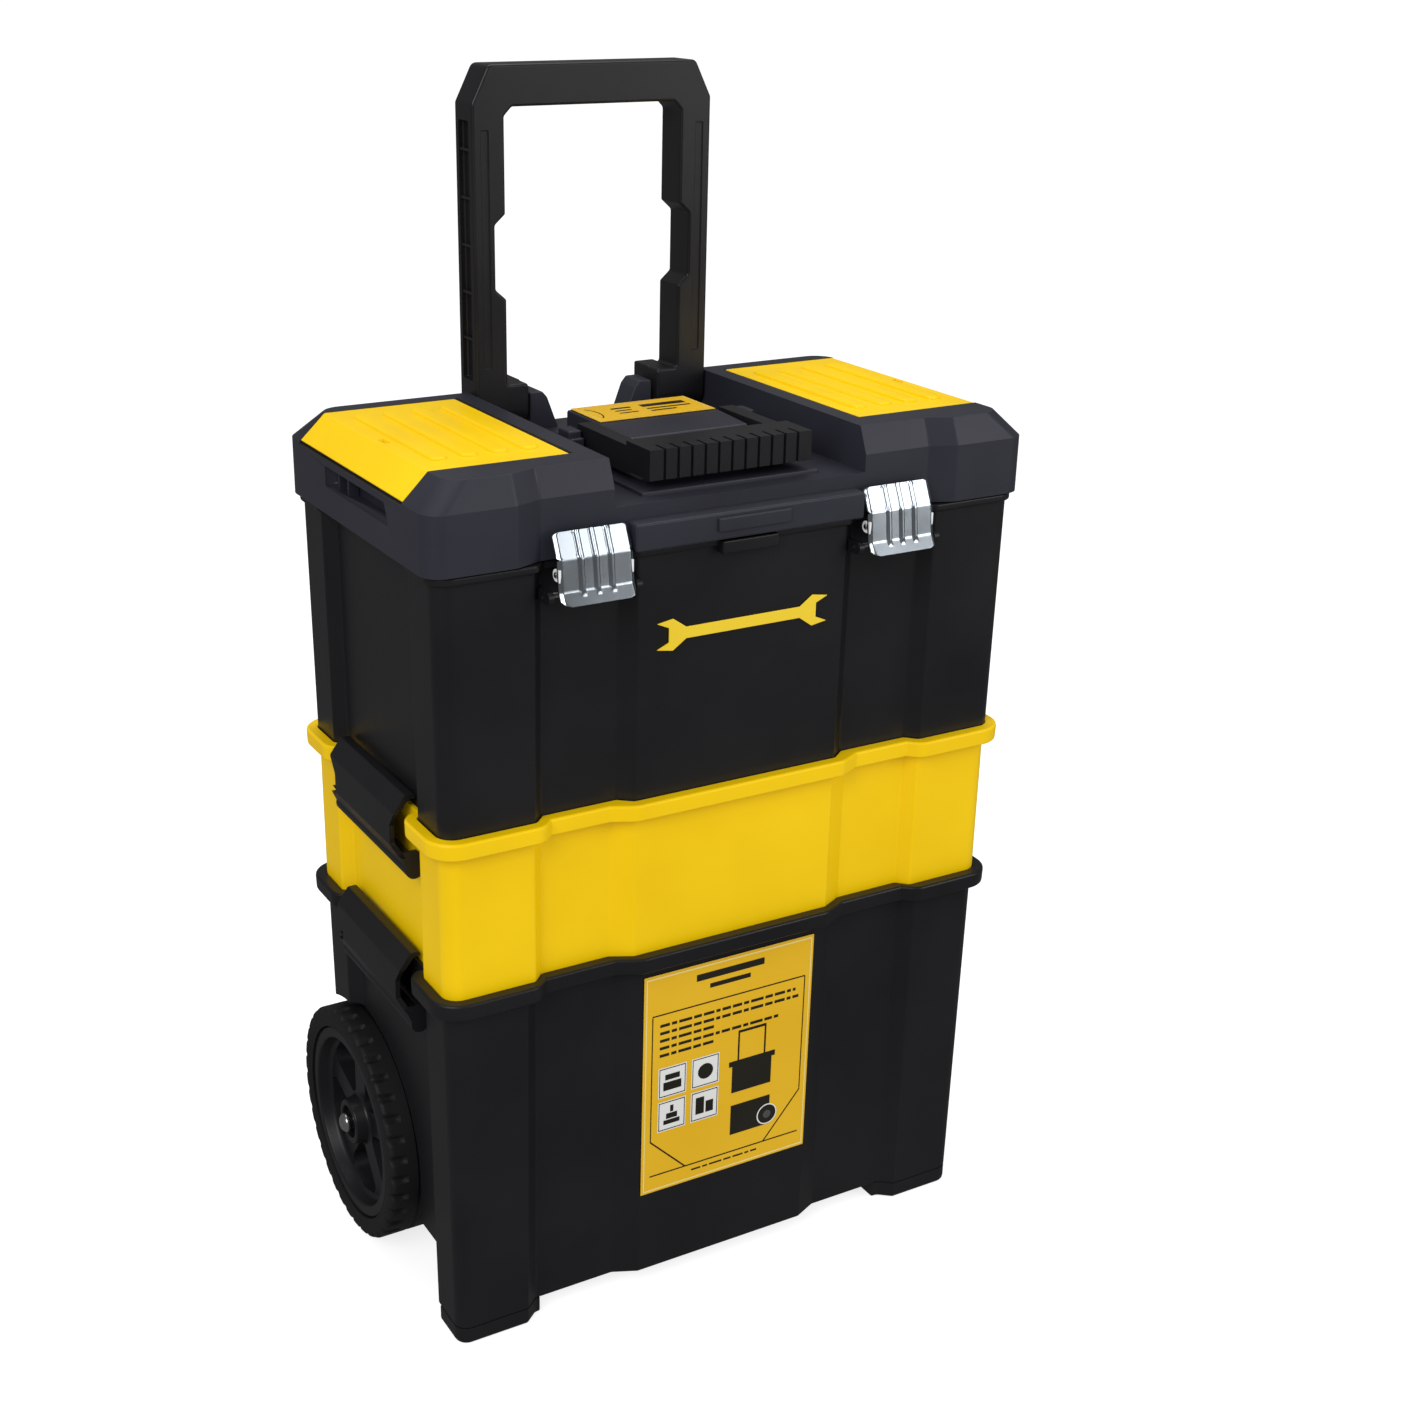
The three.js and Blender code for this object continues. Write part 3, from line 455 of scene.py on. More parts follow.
def lower_bin():
    """The wheeled bin: feet at the front corners, wheel wells and the axle channel."""
    foot = BIN["floor"]
    skin, inside, seat = rimmed("lower_bin", BIN, TRAY, foot, foot + WALL, BIN_TAPER)
    columns = [(-BIN_TAPER - 9, 0), (-BIN_TAPER, 0), (-BIN_TAPER, foot + 1)]
    columns = rounded(columns, [0, 6, 0], 4, closed=False)
    for _, side in SIDES:
        foot_solid = swept("foot", BIN, columns)
        combine("INTERSECT", foot_solid, [block(148, OUTSIDE, -120, -78, -1, foot + 2, side)])
        join(skin, foot_solid)
        cut(inside, wheel_well(side, WALL))
    half, front, top = CHANNEL["half"], CHANNEL["front"], CHANNEL["top"]
    cut(inside, block(-half - WALL, half + WALL, front - WALL, 140, -5, top + WALL))
    wells = [wheel_well(side, 0) for _, side in SIDES]
    cut(skin, *wells, block(-half, half, front, 140, -5, top), inside, seat)
    cut(skin, bar(-185, 185, WHEEL["y"], WHEEL["z"], AXLE_RADIUS + GAP))
    cut(skin, block(-184, 184, front + 1, 140, -1, WHEEL["z"] - 28))
    for _, side in SIDES:
        cut(skin, clip_notch(BIN, side))
        join(skin, *clip_lugs(BIN, side))
    return install(ease(skin, 0.8, 40, 2), "lower_bin")


def tote_tray():
    skin, inside, seat = rimmed("tote_tray", TRAY, BOX_FOOT, TRAY_BOTTOM, TRAY_BOTTOM + WALL, 0)
    cut(skin, inside, seat)
    for _, side in SIDES:
        cut(skin, clip_notch(TRAY, side))
        join(skin, *clip_lugs(TRAY, side))
    return install(ease(skin, 0.8, 40, 2), "tote_tray")


def hinge_hole(side):
    return bar(120, 180, HINGE["y"], HINGE["z"], PIN["hinge"] + GAP, side, 16)


def knuckle(side, x0, x1, arm_low, arm_high, arm_y):
    """One eye of the lid hinge on its arm."""
    body = bar(x0, x1, HINGE["y"], HINGE["z"], HINGE["radius"], side, 28)
    join(body, block(x0, x1, arm_y, HINGE["y"], arm_low, arm_high, side))
    return cut(body, hinge_hole(side))


def latch_lug(side, x0, x1):
    y, z = LATCH["pin"]
    lug = join(block(x0, x1, -124, -106, z - 4, z + 4, side), bar(x0, x1, -124, z, 4, side, 20))
    return cut(lug, bar(70, 160, y, z, PIN["latch"] + GAP, side, 16))


def tool_box_body():
    """The box under the lid, with its ledges, hinge knuckles and latch lugs."""
    top = BOX["top"]
    lip = [(-0.15, top - 5), (2.6, top - 5), (2.6, top), (-1, top)]
    points = [(-BOX_TAPER - 6, BOX_BOTTOM), (-BOX_TAPER, BOX_BOTTOM), *lip]
    skin = swept("tool_box", BOX, rounded(points, [0, 3, 1, 1.2, 1.2, 0], 3, closed=False))
    floor = BOX_BOTTOM + WALL
    inner = [(-BOX_TAPER - WALL - 5, floor), (-BOX_TAPER - WALL, floor), (-WALL, top + 1)]
    tab = block(-21.5, 21.5, -123.5, -112, top - 10, top - 1)
    join(skin, ease(tab, 1.2))
    cut(skin, swept("inside", BOX, rounded(inner, [0, 3, 0], 3, closed=False)))
    centre = HINGE["centre"]
    for _, side in SIDES:
        cut(skin, block(centre - 12.6, centre + 12.6, 116.5, 140, 560, 575, side))
        cut(skin, block(LATCH["centre"] - 28, LATCH["centre"] + 28, -140, 1 - LATCH_FACE, 560, 575, side))
        join(skin, block(198, 210.5, -60, 60, 518, 523.6, side))
        for x0 in (centre - 25, centre + 13):
            join(skin, knuckle(side, x0, x0 + 12, HINGE["z"] - 9, HINGE["z"] - 1, 107))
        for x0 in (LATCH["centre"] - 33, LATCH["centre"] + 29):
            join(skin, latch_lug(side, x0, x0 + 4))
    return install(ease(skin, 0.6, 40, 2), "tool_box_body")


def clip_pocket(side, pivot_z, y0, y1):
    """The room in a clip's barrel for one lug, as the clip swings open."""
    radius = CLIP_LUG["radius"] + CLIP_LUG["room"]
    pocket_solid = bar_y(side * CLIP["pivot"], y0, y1, pivot_z, radius)
    for degrees in (0, 30, 60):
        c, s = math.cos(math.radians(degrees)), math.sin(math.radians(degrees))
        corners = [(0, radius), (-10, radius), (-10, -radius), (0, -radius)]
        neck = [(CLIP["pivot"] + a * c - b * s, pivot_z + a * s + b * c) for a, b in corners]
        join(pocket_solid, prism("neck", mirrored(neck, side), y0, y1, "y"))
    return pocket_solid


def clip(name, side, rim_top):
    """A side flap: hooked head, narrow waist and a barrel foot whose end cheeks hide the lugs."""
    x, z = CLIP["pivot"], rim_top
    waist, head, foot = CLIP["waist"], CLIP["head"], CLIP["foot"]
    points = [
        (x + 3, z + 10), (x - 4.2, z + 10), (x - 4.2, z + 6.5), (x, z + 7), (x + 8, z - 3),
        (x + 8, z - 26), (x - 0.5, z - 44), (x + 3, z - 46.5), (x + 11.5, z - 27), (x + 11.5, z - 1.5),
    ]
    radii = [2, 1.5, 0.6, 1.5, 3, 6, 0.8, 1, 6, 4]
    flap = prism(name, mirrored(rounded(points, radii), side), -foot, foot, "y")
    edge = [
        (head, z + 11), (head, z - 2), (waist, z - 13), (waist, z - 27), (head, z - 32),
        (foot + 1, z - 32), (foot + 1, z + 11),
    ]
    edge = rounded(edge, [0, 3, 4, 3, 2, 0, 0])
    for outline in (edge, [(-y, height) for y, height in edge]):
        cut(flap, prism("edge", outline, -OUTSIDE, OUTSIDE, "x"))
    pivot = rim_top - CLIP["down"]
    near, far = CLIP_LUG["near"] - CLIP_LUG["room"], CLIP_LUG["far"] + CLIP_LUG["room"]
    cheek = [(x + 8.5, z - 28), (x - 2, z - 28), (x - 5.9, z - 32), (x - 5.9, z - 42), (x, z - 42)]
    join(flap, bar_y(side * x, -foot, foot, pivot, CLIP["barrel"], 28))
    for y0, y1 in ((-foot, -far), (far, foot)):
        join(flap, prism("cheek", mirrored(cheek, side), y0, y1, "y"))
    cut(flap, clip_pocket(side, pivot, near, far), clip_pocket(side, pivot, -far, -near))
    join(flap, bar_y(side * x, 1 - foot, foot - 1, pivot, CLIP["stub"]))
    return install(ease(flap, 0.7, 40, 2), name)


# ---- Wheels ---------------------------------------------------------------------------------------
def turned_ring(name, sections, side):
    """A closed solid from closed (radius, x) sections set round the axle at the given angles."""
    count = len(sections[0][1])
    points = []
    for angle, section in sections:
        for radius, x in section:
            y = WHEEL["y"] + radius * math.cos(angle)
            points.append((side * x, y, WHEEL["z"] + radius * math.sin(angle)))
    faces = []
    total = len(sections)
    for i in range(total):
        for j in range(count):
            a, b = i * count + j, i * count + (j + 1) % count
            c, d = (i + 1) % total * count + (j + 1) % count, (i + 1) % total * count + j
            faces.append((a, b, c, d))
    return build(name, points, faces)


def revolved(name, section, side, steps=96):
    return turned_ring(name, [(2 * math.pi * i / steps, section) for i in range(steps)], side)


def tread_cut(phase, across):
    """How deep the tread is cut, 0 to 1, at a share of one block's pitch and across the tyre, -1 to 1."""
    lean = 0.16 * (abs(across) - 0.5) * (1 if across > 0 else -1)
    shifted = (phase + lean + (0.5 if across > 0 else 0.0)) % 1.0
    from_middle = abs(shifted - 0.5)
    groove = 1 - min(max((from_middle - 0.12) / 0.07, 0), 1)
    shoulder = min(max((abs(across) - 0.42) / 0.1, 0), 1)
    rib = 1 - min(max((abs(across) - 0.03) / 0.04, 0), 1)
    return max(groove * shoulder, 0.6 * rib)


def tyre(name, side):
    """The tread ring, with blocks and grooves in its mesh."""
    inner, outer = WHEEL["inner"], WHEEL["outer"]
    middle, half = (inner + outer) / 2, (outer - inner) / 2
    bore = WHEEL["hub"] + GAP
    shares = [-1, -0.985, -0.94, -0.87, -0.8, -0.65, -0.53, -0.42, -0.3, -0.09, -0.03]
    shares += [-s for s in shares[::-1]]
    steps = 10
    sections = []
    for i in range(TREAD_BLOCKS * steps):
        angle = 2 * math.pi * i / (TREAD_BLOCKS * steps)
        section = []
        for share in shares:
            edge = max(abs(share) - 0.87, 0) / 0.13
            crown = 4.5 * (1 - math.sqrt(max(1 - edge * edge, 0)))
            groove = TREAD_DEPTH * tread_cut(i / steps % 1, share) * (1 - edge * 0.3)
            section.append((WHEEL["radius"] - crown - groove, middle + share * half))
        section += [(80, outer), (77, outer - 0.8), (bore, outer - 0.8)]
        section += [(bore, inner + 0.8), (77, inner + 0.8), (80, inner)]
        sections.append((angle, section))
    made = turned_ring(name, sections, side)
    return install(smooth(made, 40), name)


def pocket(side, turn):
    """The tapered hollow between two spokes, cut into the wheel's outer face."""
    levels = []
    for x, spread in ((POCKET_FLOOR, 0.0), (DISC_FACE + 2, 1.6)):
        corners = []
        near, far = 23 - spread, 60 + spread
        rays = [(near, 10), (far, 27.5), (far + 0.5, 0), (far, -27.5), (near, -10)]
        for radius, degrees in rays:
            angle = math.radians(degrees)
            corners.append((radius * math.sin(angle), radius * math.cos(angle)))
        outline = rounded(corners, [5, 8, 0, 8, 5], 5)
        level = []
        for a, b in outline:
            u = a * math.cos(turn) - b * math.sin(turn)
            v = a * math.sin(turn) + b * math.cos(turn)
            level.append((side * x, WHEEL["y"] + u, WHEEL["z"] + v))
        levels.append(level)
    return loft("pocket", levels)


def wheel(name, side):
    """The hub, with a rim, a disc and a hollow between each two spokes."""
    bore = AXLE_RADIUS + GAP
    points = [
        (bore, 179), (15, 179), (15, 198), (63, 198), (63, 183), (74, 183), (74, 225.5),
        (65.5, 225.5), (62.5, DISC_FACE), (19, DISC_FACE), (17, 225.8), (12.5, 225.8), (12.5, 221),
        (bore, 221),
    ]
    radii = [0, 1, 2, 2, 1, 1, 2, 2, 4, 3, 1.5, 1, 0.5, 0]
    made = revolved(name, rounded(points, radii, 3), side)
    for i in range(SPOKES):
        cut(made, pocket(side, 2 * math.pi * (i + 0.5) / SPOKES))
    return install(ease(made, 1.4, 42, 3), name)


def axle_cap(name, side):
    bore = AXLE_RADIUS + GAP
    points = [(0.01, 229.8), (bore, 229.8), (bore, 226.6), (7.5, 226.6), (7.5, 229), (4.5, 232), (0.01, 232)]
    made = revolved(name, rounded(points, [0, 0, 0.3, 0.5, 3, 4, 0], 5), side, 40)
    return install(smooth(made, 50), name)


# ---- Lid ------------------------------------------------------------------------------------------
def block_plan(side, share):
    """The plan of an end block: share is 0 at its walls and 1 at its top, where the sloped sides end."""
    front = -LID["y"] + LID_INSET["front"] * share
    face = -LATCH_FACE + LID_INSET["front"] * share
    x = LID["x"] - LID_INSET["outer"] * share
    rear = LID["y"] - LID_INSET["rear"] * share
    inner = LID["block"]
    points = [(inner, face), (FLANK[0], face), (FLANK[1], front), (x, front), (x, rear), (inner, rear)]
    return mirrored(rounded(points, [0, 5, 7, 14, 16, 0], [1, 4, 4, 9, 9, 1]), side)


def end_block(side):
    profile = [(0, LID["bottom"]), (0, LID["crease"]), (1, LID["top"]), (1.3, LID["top"])]
    profile = rounded(profile, [0, 1.6, 0.16, 0], 4, closed=False)
    return loft("end_block", [[(x, y, z) for x, y in block_plan(side, share)] for share, z in profile])


def organizer_space(side):
    """The room that an organizer lid and its hinge need in an end block, and the well under it."""
    front, rear, outer = ORGANIZER["front"], ORGANIZER["rear"], ORGANIZER["outer"]
    seat = LID["top"] - ORGANIZER["thick"] - GAP
    inner = STUB["x"] - 3.5
    low = LID["crease"] - 1.5
    slope = [
        (inner, seat), (ORGANIZER["flat"] - 1, seat), (outer - 2.4, low),
        (OUTSIDE, low), (OUTSIDE, OVERHEAD), (inner, OVERHEAD),
    ]
    space = prism("space", mirrored(slope, side), front - 0.6, rear + 0.6, "y")
    join(space, block(115, 204, front + 4, rear - 4, ORGANIZER["well"], OVERHEAD, side))
    join(space, block(STUB["x"] - 4, STUB["x"] + 4, front - 0.6, rear + 0.6, STUB["z"] - 5, OVERHEAD, side))
    return join(space, bar_y(side * STUB["x"], front - 6, rear + 6, STUB["z"], PIN["stub"] + GAP))


def carry_ear(side):
    ear = ease(block(63.2, 73.5, -12, 12, LID["deck"] - 1, 619, side), 1.2)
    join(ear, ease(block(63.4, 73.3, -8, 8, LID["deck"] - 1, 623.5, side), 1.2))
    return cut(ear, bar(60, 70.5, 0, CARRY["pivot"], 3.4, side))


def pull_lug(side):
    points = [(27, 599), (50, 599), (50, 627), (40, 627), (36, 622.5)]
    lug = prism("lug", mirrored(rounded(points, [0, 0, 2, 3, 6]), side), 97, 119, "y")
    return cut(ease(lug, 1), bar(38, 60, PULL["y"], PULL["z"], PIN["pull"] + GAP, side))


def lid_middle():
    """The deck, the front panel over the box's lip, and the raised pad that carries the label."""
    half = LID["block"] + 1
    middle = block(-half, half, -LATCH_FACE, LID["y"], LID["bottom"], LID["deck"])
    panel = block(-PANEL["x"], PANEL["x"], PANEL["y"], 1 - LATCH_FACE, LID["bottom"], PANEL["top"])
    tab = block(-27.5, 27.5, PANEL["y"] - 2, PANEL["y"] + 1, LID["bottom"] + 6, LID["bottom"] + 15)
    plate = block(-67.3, 67.3, -98, 30, LID["deck"] - 1, 602.6)
    points = [(-41.5, 599), (45, 599), (45, 625), (-3, 625), (-41.5, 623)]
    pad = prism("pad", rounded(points, [0, 0, 2, 8, 3]), -47.5, 47.5, "x")
    join(middle, ease(panel, 1.6), ease(tab, 0.8), ease(plate, 1), ease(pad, 1.2, 40))
    return middle


def lid_hollows():
    mid = LID["block"] - 4
    under = ORGANIZER["well"] - WALL
    low = LID["bottom"] - 1
    hollows = [
        block(-mid, mid, WALL - LATCH_FACE, 117, low, LID["deck"] - WALL),
        block(WALL - PANEL["x"], PANEL["x"] - WALL, PANEL["y"] + WALL, -100, low, PANEL["top"] - WALL),
    ]
    for _, side in SIDES:
        hollows.append(block(mid - 1, 216, -108, 116.5, low, under, side))
        hollows.append(block(214, 222.5, -106, 106, low, under, side))
    return hollows


def finger_slot(side):
    """The long slot under an organizer lid's outer edge, with a slanted front end."""
    outline = rounded([(-62, 592), (46, 592), (46, 606), (-55, 606)], [2, 2, 2, 2])
    return prism("slot", outline, *sorted((side * 214, side * 235)), "x")


def lid():
    """The whole lid; its finger slots are cut after its edges are eased."""
    made = lid_middle()
    centre = HINGE["centre"]
    for _, side in SIDES:
        join(made, end_block(side))
    for hollow in lid_hollows():
        cut(made, hollow)
    for _, side in SIDES:
        cut(made, block(PANEL["x"] + 0.6, FLANK[0], -140, -LATCH_FACE, LID["bottom"] - 1, OVERHEAD, side))
        cut(made, organizer_space(side))
        for x0 in (centre - 25.6, centre + 12.4):
            cut(made, block(x0, x0 + 13.2, 115, 130, LID["bottom"] - 1, 578, side))
        cut(made, bar(90, 106, PULL["y"], PULL["z"], PIN["pull"] + GAP, side))
        join(made, carry_ear(side), pull_lug(side))
        join(made, knuckle(side, centre - 12, centre + 12, HINGE["z"], LID["bottom"] + 3, 117.2))
    ease(made, 0.5, 40, 2)
    for _, side in SIDES:
        cut(made, finger_slot(side))
        for y in (14, 30):
            join(made, block(215, 222, y, y + 2.4, 591, 607, side))
    return install(smooth(made, 50), "lid")


def ridge(side, x, y0, y1, top):
    """A low raised bar along Y with round ends and sloped flanks."""
    levels = []
    for z, inset in ((top - 1.2, 0.0), (top + 1.2, 0.5), (top + 1.9, 1.3)):
        x0, x1, low, high = x + inset, x + 12 - inset, y0 + inset, y1 - inset
        corners = mirrored([(x0, low), (x1, low), (x1, high), (x0, high)], side)
        outline = rounded(corners, [5.2 - inset] * 4, 5)
        levels.append([(a, b, z) for a, b in outline])
    return loft("ridge", levels)


def organizer(name, side):
    inner, flat, outer, thick = (ORGANIZER[key] for key in ("inner", "flat", "outer", "thick"))
    front, rear = ORGANIZER["front"], ORGANIZER["rear"]
    top = LID["top"] - 0.3
    low = LID["crease"] - 0.2
    points = [
        (inner, top - thick), (flat - 0.4, top - thick), (outer - 1.2, low),
        (outer, low + 1.4), (flat + 0.5, top), (inner, top),
    ]
    outline = mirrored(rounded(points, [0.6, 2, 0.4, 0.4, 2.5, 1]), side)
    plate = prism(name, outline, front, rear, "y")
    ease(plate, 0.6, 40, 2)
    for i in range(RIDGES):
        join(plate, ridge(side, 121 + i * 21, -62, 72, top))
    join(plate, bar_y(side * STUB["x"], front - 4, rear + 4, STUB["z"], PIN["stub"]))
    cut(plate, block(flat - 7, flat - 3, -5.5, 5.5, top - 2.2, top + 5, side))
    return install(smooth(plate, 40), name)


def carry_handle():
    """The grip: a crossbar with upright grooves round its front, and two arms that turn in the ears."""
    x, front, rear = CARRY["x"], CARRY["front"], CARRY["rear"]
    bottom, top, pivot = CARRY["bottom"], CARRY["top"], CARRY["pivot"]
    made = block(-x, x, front, rear, bottom, top)
    for i in range(GROOVES):
        middle = -x + 11 + i * (2 * x - 22) / (GROOVES - 1)
        cut(made, block(middle - 1, middle + 1, front - 1, front + 1.6, bottom - 1, top + 1))
        cut(made, block(middle - 1, middle + 1, front - 1, front + 12, top - 1, top + 1))
    for _, side in SIDES:
        join(made, block(CARRY["arm"], x, rear - 1, 0, pivot - 7.4, 626, side))
        join(made, bar(CARRY["arm"], x, 0, pivot, 7.4, side, 40))
        join(made, block(CARRY["arm"], x, -8, 2, pivot, 626, side))
        join(made, bar(x - 1, 68.6, 0, pivot, 3, side))
    return install(ease(made, 0.55, 40, 2), "carry_handle")


def pull_handle():
    """The U handle, upright, with a ribbed channel down the outside of each arm."""
    y, z, x, half, arm = (PULL[key] for key in ("y", "z", "x", "half", "arm"))
    top, under = PULL["top"], PULL["bar"]
    low, high, notch = z + 78, z + 136, 77
    foot = 52.5
    outer = [(x, z), (x, top - 25), (x - 12.8, top)]
    inner = [
        (foot, z), (foot, z + 18), (arm, z + 18), (arm, low), (notch, low + 7), (notch, high - 7),
        (arm, high), (arm, under - 6), (arm - 6, under),
    ]
    outer_radii, inner_radii = [0, 5, 5], [0, 3, 2, 2, 3, 3, 2, 3, 3]
    flipped = [(-a, b) for a, b in outer][::-1] + [(-a, b) for a, b in inner]
    outline = rounded(
        outer + flipped + inner[::-1], outer_radii + outer_radii[::-1] + inner_radii + inner_radii[::-1], 4
    )
    made = ease(prism("pull_handle", outline, y - half, y + half, "y"), 3, 40, 4)
    for _, side in SIDES:
        join(made, ease(bar(foot, x, y, z, half, side, 56), 2, 40))
        join(made, ease(block(foot, arm, y, y + 22, z + 2, z + 18, side), 1.5))
        cut(made, bar(foot - 2, x + 2, y, z, PIN["pull"] + GAP, side))
        channel = ease(block(x - 4, x + 5, y - 8, y + 8, z + 22, top - 36, side), 1.5)
        cut(made, channel)
        panel = ease(block(arm + 12, x - 6, y - half - 3, y - half + 1, z + 30, top - 42, side), 0.9)
        cut(made, panel)
        for i in range(HANDLE_RIBS):
            height = z + 50 + i * 32
            join(made, block(x - 5, x - 0.6, y - 8.5, y + 8.5, height, height + 1.8, side))
    return install(ease(made, 0.4, 50, 2), "pull_handle")


# ---- Latches --------------------------------------------------------------------------------------
def latch_path():
    """Places down the latch's face as (y, z, distance) with its bends rounded."""
    line = rounded(LATCH_FACE_POINTS, [0, 5, 4, 0], 6, closed=False)
    fine = [Vector(line[0])]
    for point in line[1:]:
        start = fine[-1].copy()
        pieces = max(1, round((Vector(point) - start).length / 1.2))
        fine += [start.lerp(Vector(point), (i + 1) / pieces) for i in range(pieces)]
    return fine


def soft_step(value, low, high):
    """0 below low, 1 above high and a smooth rise between."""
    share = min(max((value - low) / (high - low), 0), 1)
    return share * share * (3 - 2 * share)


def rib_height(across, along, length):
    """The pressed ribs stand out of the sheet from its top edge down to its flared foot."""
    ends = 1 - soft_step(along, length - 10, length - 6)
    ribs = max(1 - soft_step(abs(across - rib), 1.0, 2.1) for rib in LATCH_RIBS)
    return RIB_RELIEF * ends * ribs


def latch_half_width(along, length):
    """Half the plate's width at a distance down its face, with round corners and a waist."""
    half = LATCH["half"]
    waist = 1.2 * (1 - soft_step(abs(along - 17), 0.6, 1.6))
    corner = 6.0
    left = length - along
    if left < corner:
        half -= corner - math.sqrt(max(corner**2 - (corner - left) ** 2, 0))
    if along < 2:
        half -= 2 - math.sqrt(max(4 - (2 - along) ** 2, 0))
    return half - waist


def latch_sheet(name, side):
    """The pressed plate: rows down its bent path, columns across it, and skins joined round the edge."""
    path = latch_path()
    spans = [0.0]
    for a, b in zip(path, path[1:]):
        spans.append(spans[-1] + (b - a).length)
    length = spans[-1]
    sheet = LATCH["sheet"]
    front, back = [], []
    for i, (point, along) in enumerate(zip(path, spans)):
        ahead = path[min(i + 1, len(path) - 1)] - path[max(i - 1, 0)]
        out = Vector((ahead.y, -ahead.x)).normalized()
        half = latch_half_width(along, length)
        for j in range(LATCH_COLUMNS + 1):
            across = half * (2 * j / LATCH_COLUMNS - 1)
            raised = rib_height(across, along, length)
            turn = 1.6 * soft_step(abs(across), LATCH["half"] - 2.5, LATCH["half"])
            base = point - out * (sheet + turn)
            face = base + out * (sheet - 0.35 + raised * 0.9)
            rear = base + out * (raised * 0.6)
            front.append((side * LATCH["centre"] + across, face.x, face.y))
            back.append((side * LATCH["centre"] + across, rear.x, rear.y))
    rows, width = len(path), LATCH_COLUMNS + 1
    total = rows * width
    faces = []
    for i in range(rows - 1):
        for j in range(LATCH_COLUMNS):
            a = i * width + j
            faces.append((a, a + 1, a + width + 1, a + width))
            faces.append((total + a, total + a + width, total + a + width + 1, total + a + 1))
    edge = list(range(width)) + [i * width + LATCH_COLUMNS for i in range(1, rows)]
    edge += [(rows - 1) * width + j for j in range(LATCH_COLUMNS - 1, -1, -1)]
    edge += [i * width for i in range(rows - 2, 0, -1)]
    for a, b in zip(edge, edge[1:] + edge[:1]):
        faces.append((b, a, total + a, total + b))
    return build(name, front + back, faces)


def latch_cheek(name, side, x):
    """A side wall of the plate that holds the upper pin."""
    y, z = LATCH["upper"]
    end = x + LATCH["sheet"]
    cheek = bar(x, end, y, z, 4, side, 28)
    join(cheek, block(x, end, -128, y, z - 4, z + 4, side))
    cut(cheek, bar(70, 160, y, z, PIN["latch"] + GAP, side, 20))
    smooth(cheek, 40)
    cheek.name = name
    cheek.data.materials.append(MATERIALS["zinc_sheet"])
    return cheek


def latch_plate(name, side):
    inset = LATCH["half"] - 0.3
    for i, x in enumerate((LATCH["centre"] - inset, LATCH["centre"] + inset - LATCH["sheet"])):
        cheek = latch_cheek(f"{name}_cheek_{i + 1}", side, x)
        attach(cheek, BODY[name])
    return install(smooth(latch_sheet(name, side), 60), name)


# ---- Labels ---------------------------------------------------------------------------------------
def bin_label_place(u, v, layer):
    """A place on the bin's label: u across and v down, both 0 to 1, some layers of print thick."""
    z = BIN_LABEL["top"] - v * BIN_LABEL["tall"]
    lean = BIN_TAPER * (1 - (z - BIN["floor"]) / (BIN["top"] - RIM_HEIGHT + 1 - BIN["floor"]))
    return (BIN_LABEL["x"] + u * BIN_LABEL["wide"], -BIN["y"] + lean - 1 - PRINT_GAP * layer, z)


def lid_label_place(u, v, layer):
    y = LID_LABEL["rear"] - v * LID_LABEL["tall"]
    return (LID_LABEL["x"] + u * LID_LABEL["wide"], y, LID_LABEL["top"] + PRINT_GAP * layer)


def printed(name, label, shapes, material, place, layer=1):
    """Flat shapes printed on a label, each a list of (u, v) corners."""
    points, faces = [], []
    for shape in shapes:
        base = len(points)
        points += [place(u, v, layer) for u, v in shape]
        faces.append(tuple(range(base, base + len(shape))))
    made = build(name, points, faces)
    made.data.materials.append(material)
    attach(made, BODY[label])
    return made


def rect(u0, v0, u1, v1):
    return [(u0, v0), (u0, v1), (u1, v1), (u1, v0)]


def stroke(u0, v0, u1, v1, wide):
    """A straight line of print, wide as a share of the label's width."""
    along = Vector((u1 - u0, v1 - v0)).normalized()
    across = Vector((-along.y, along.x)) * wide / 2
    start, end = Vector((u0, v0)), Vector((u1, v1))
    return [tuple(corner) for corner in (start + across, start - across, end - across, end + across)]


def frame_of(u0, v0, u1, v1, line):
    return [
        rect(u0, v0, u1, v0 + line), rect(u0, v1 - line, u1, v1),
        rect(u0, v0 + line, u0 + line, v1 - line), rect(u1 - line, v0 + line, u1, v1 - line),
    ]


def word_bars(u, v, end, tall):
    """A row of word-like dashes from u to end."""
    bars = []
    widths = (0.055, 0.03, 0.075, 0.045, 0.062, 0.024, 0.05)
    i = 0
    while u < end:
        stop = min(u + widths[i % len(widths)], end)
        bars.append(rect(u, v, stop, v + tall))
        u = stop + 0.012
        i += 1
    return bars


def disc_of(u, v, radius, aspect, steps=28):
    """A round spot; aspect is the label's width over its height."""
    angles = [2 * math.pi * i / steps for i in range(steps)]
    return [(u + radius * math.cos(a), v - radius * aspect * math.sin(a)) for a in angles]


# The rectangles in each white tile of the bin's label, from the tile's own corner; the third has a disc.
TILE_MARKS = [
    [(0.04, 0.035, 0.125, 0.06), (0.03, 0.07, 0.135, 0.108)],
    [(0.035, 0.09, 0.13, 0.11), (0.05, 0.06, 0.115, 0.085), (0.073, 0.025, 0.092, 0.055)],
    [],
    [(0.03, 0.03, 0.08, 0.108), (0.09, 0.055, 0.135, 0.108)],
]


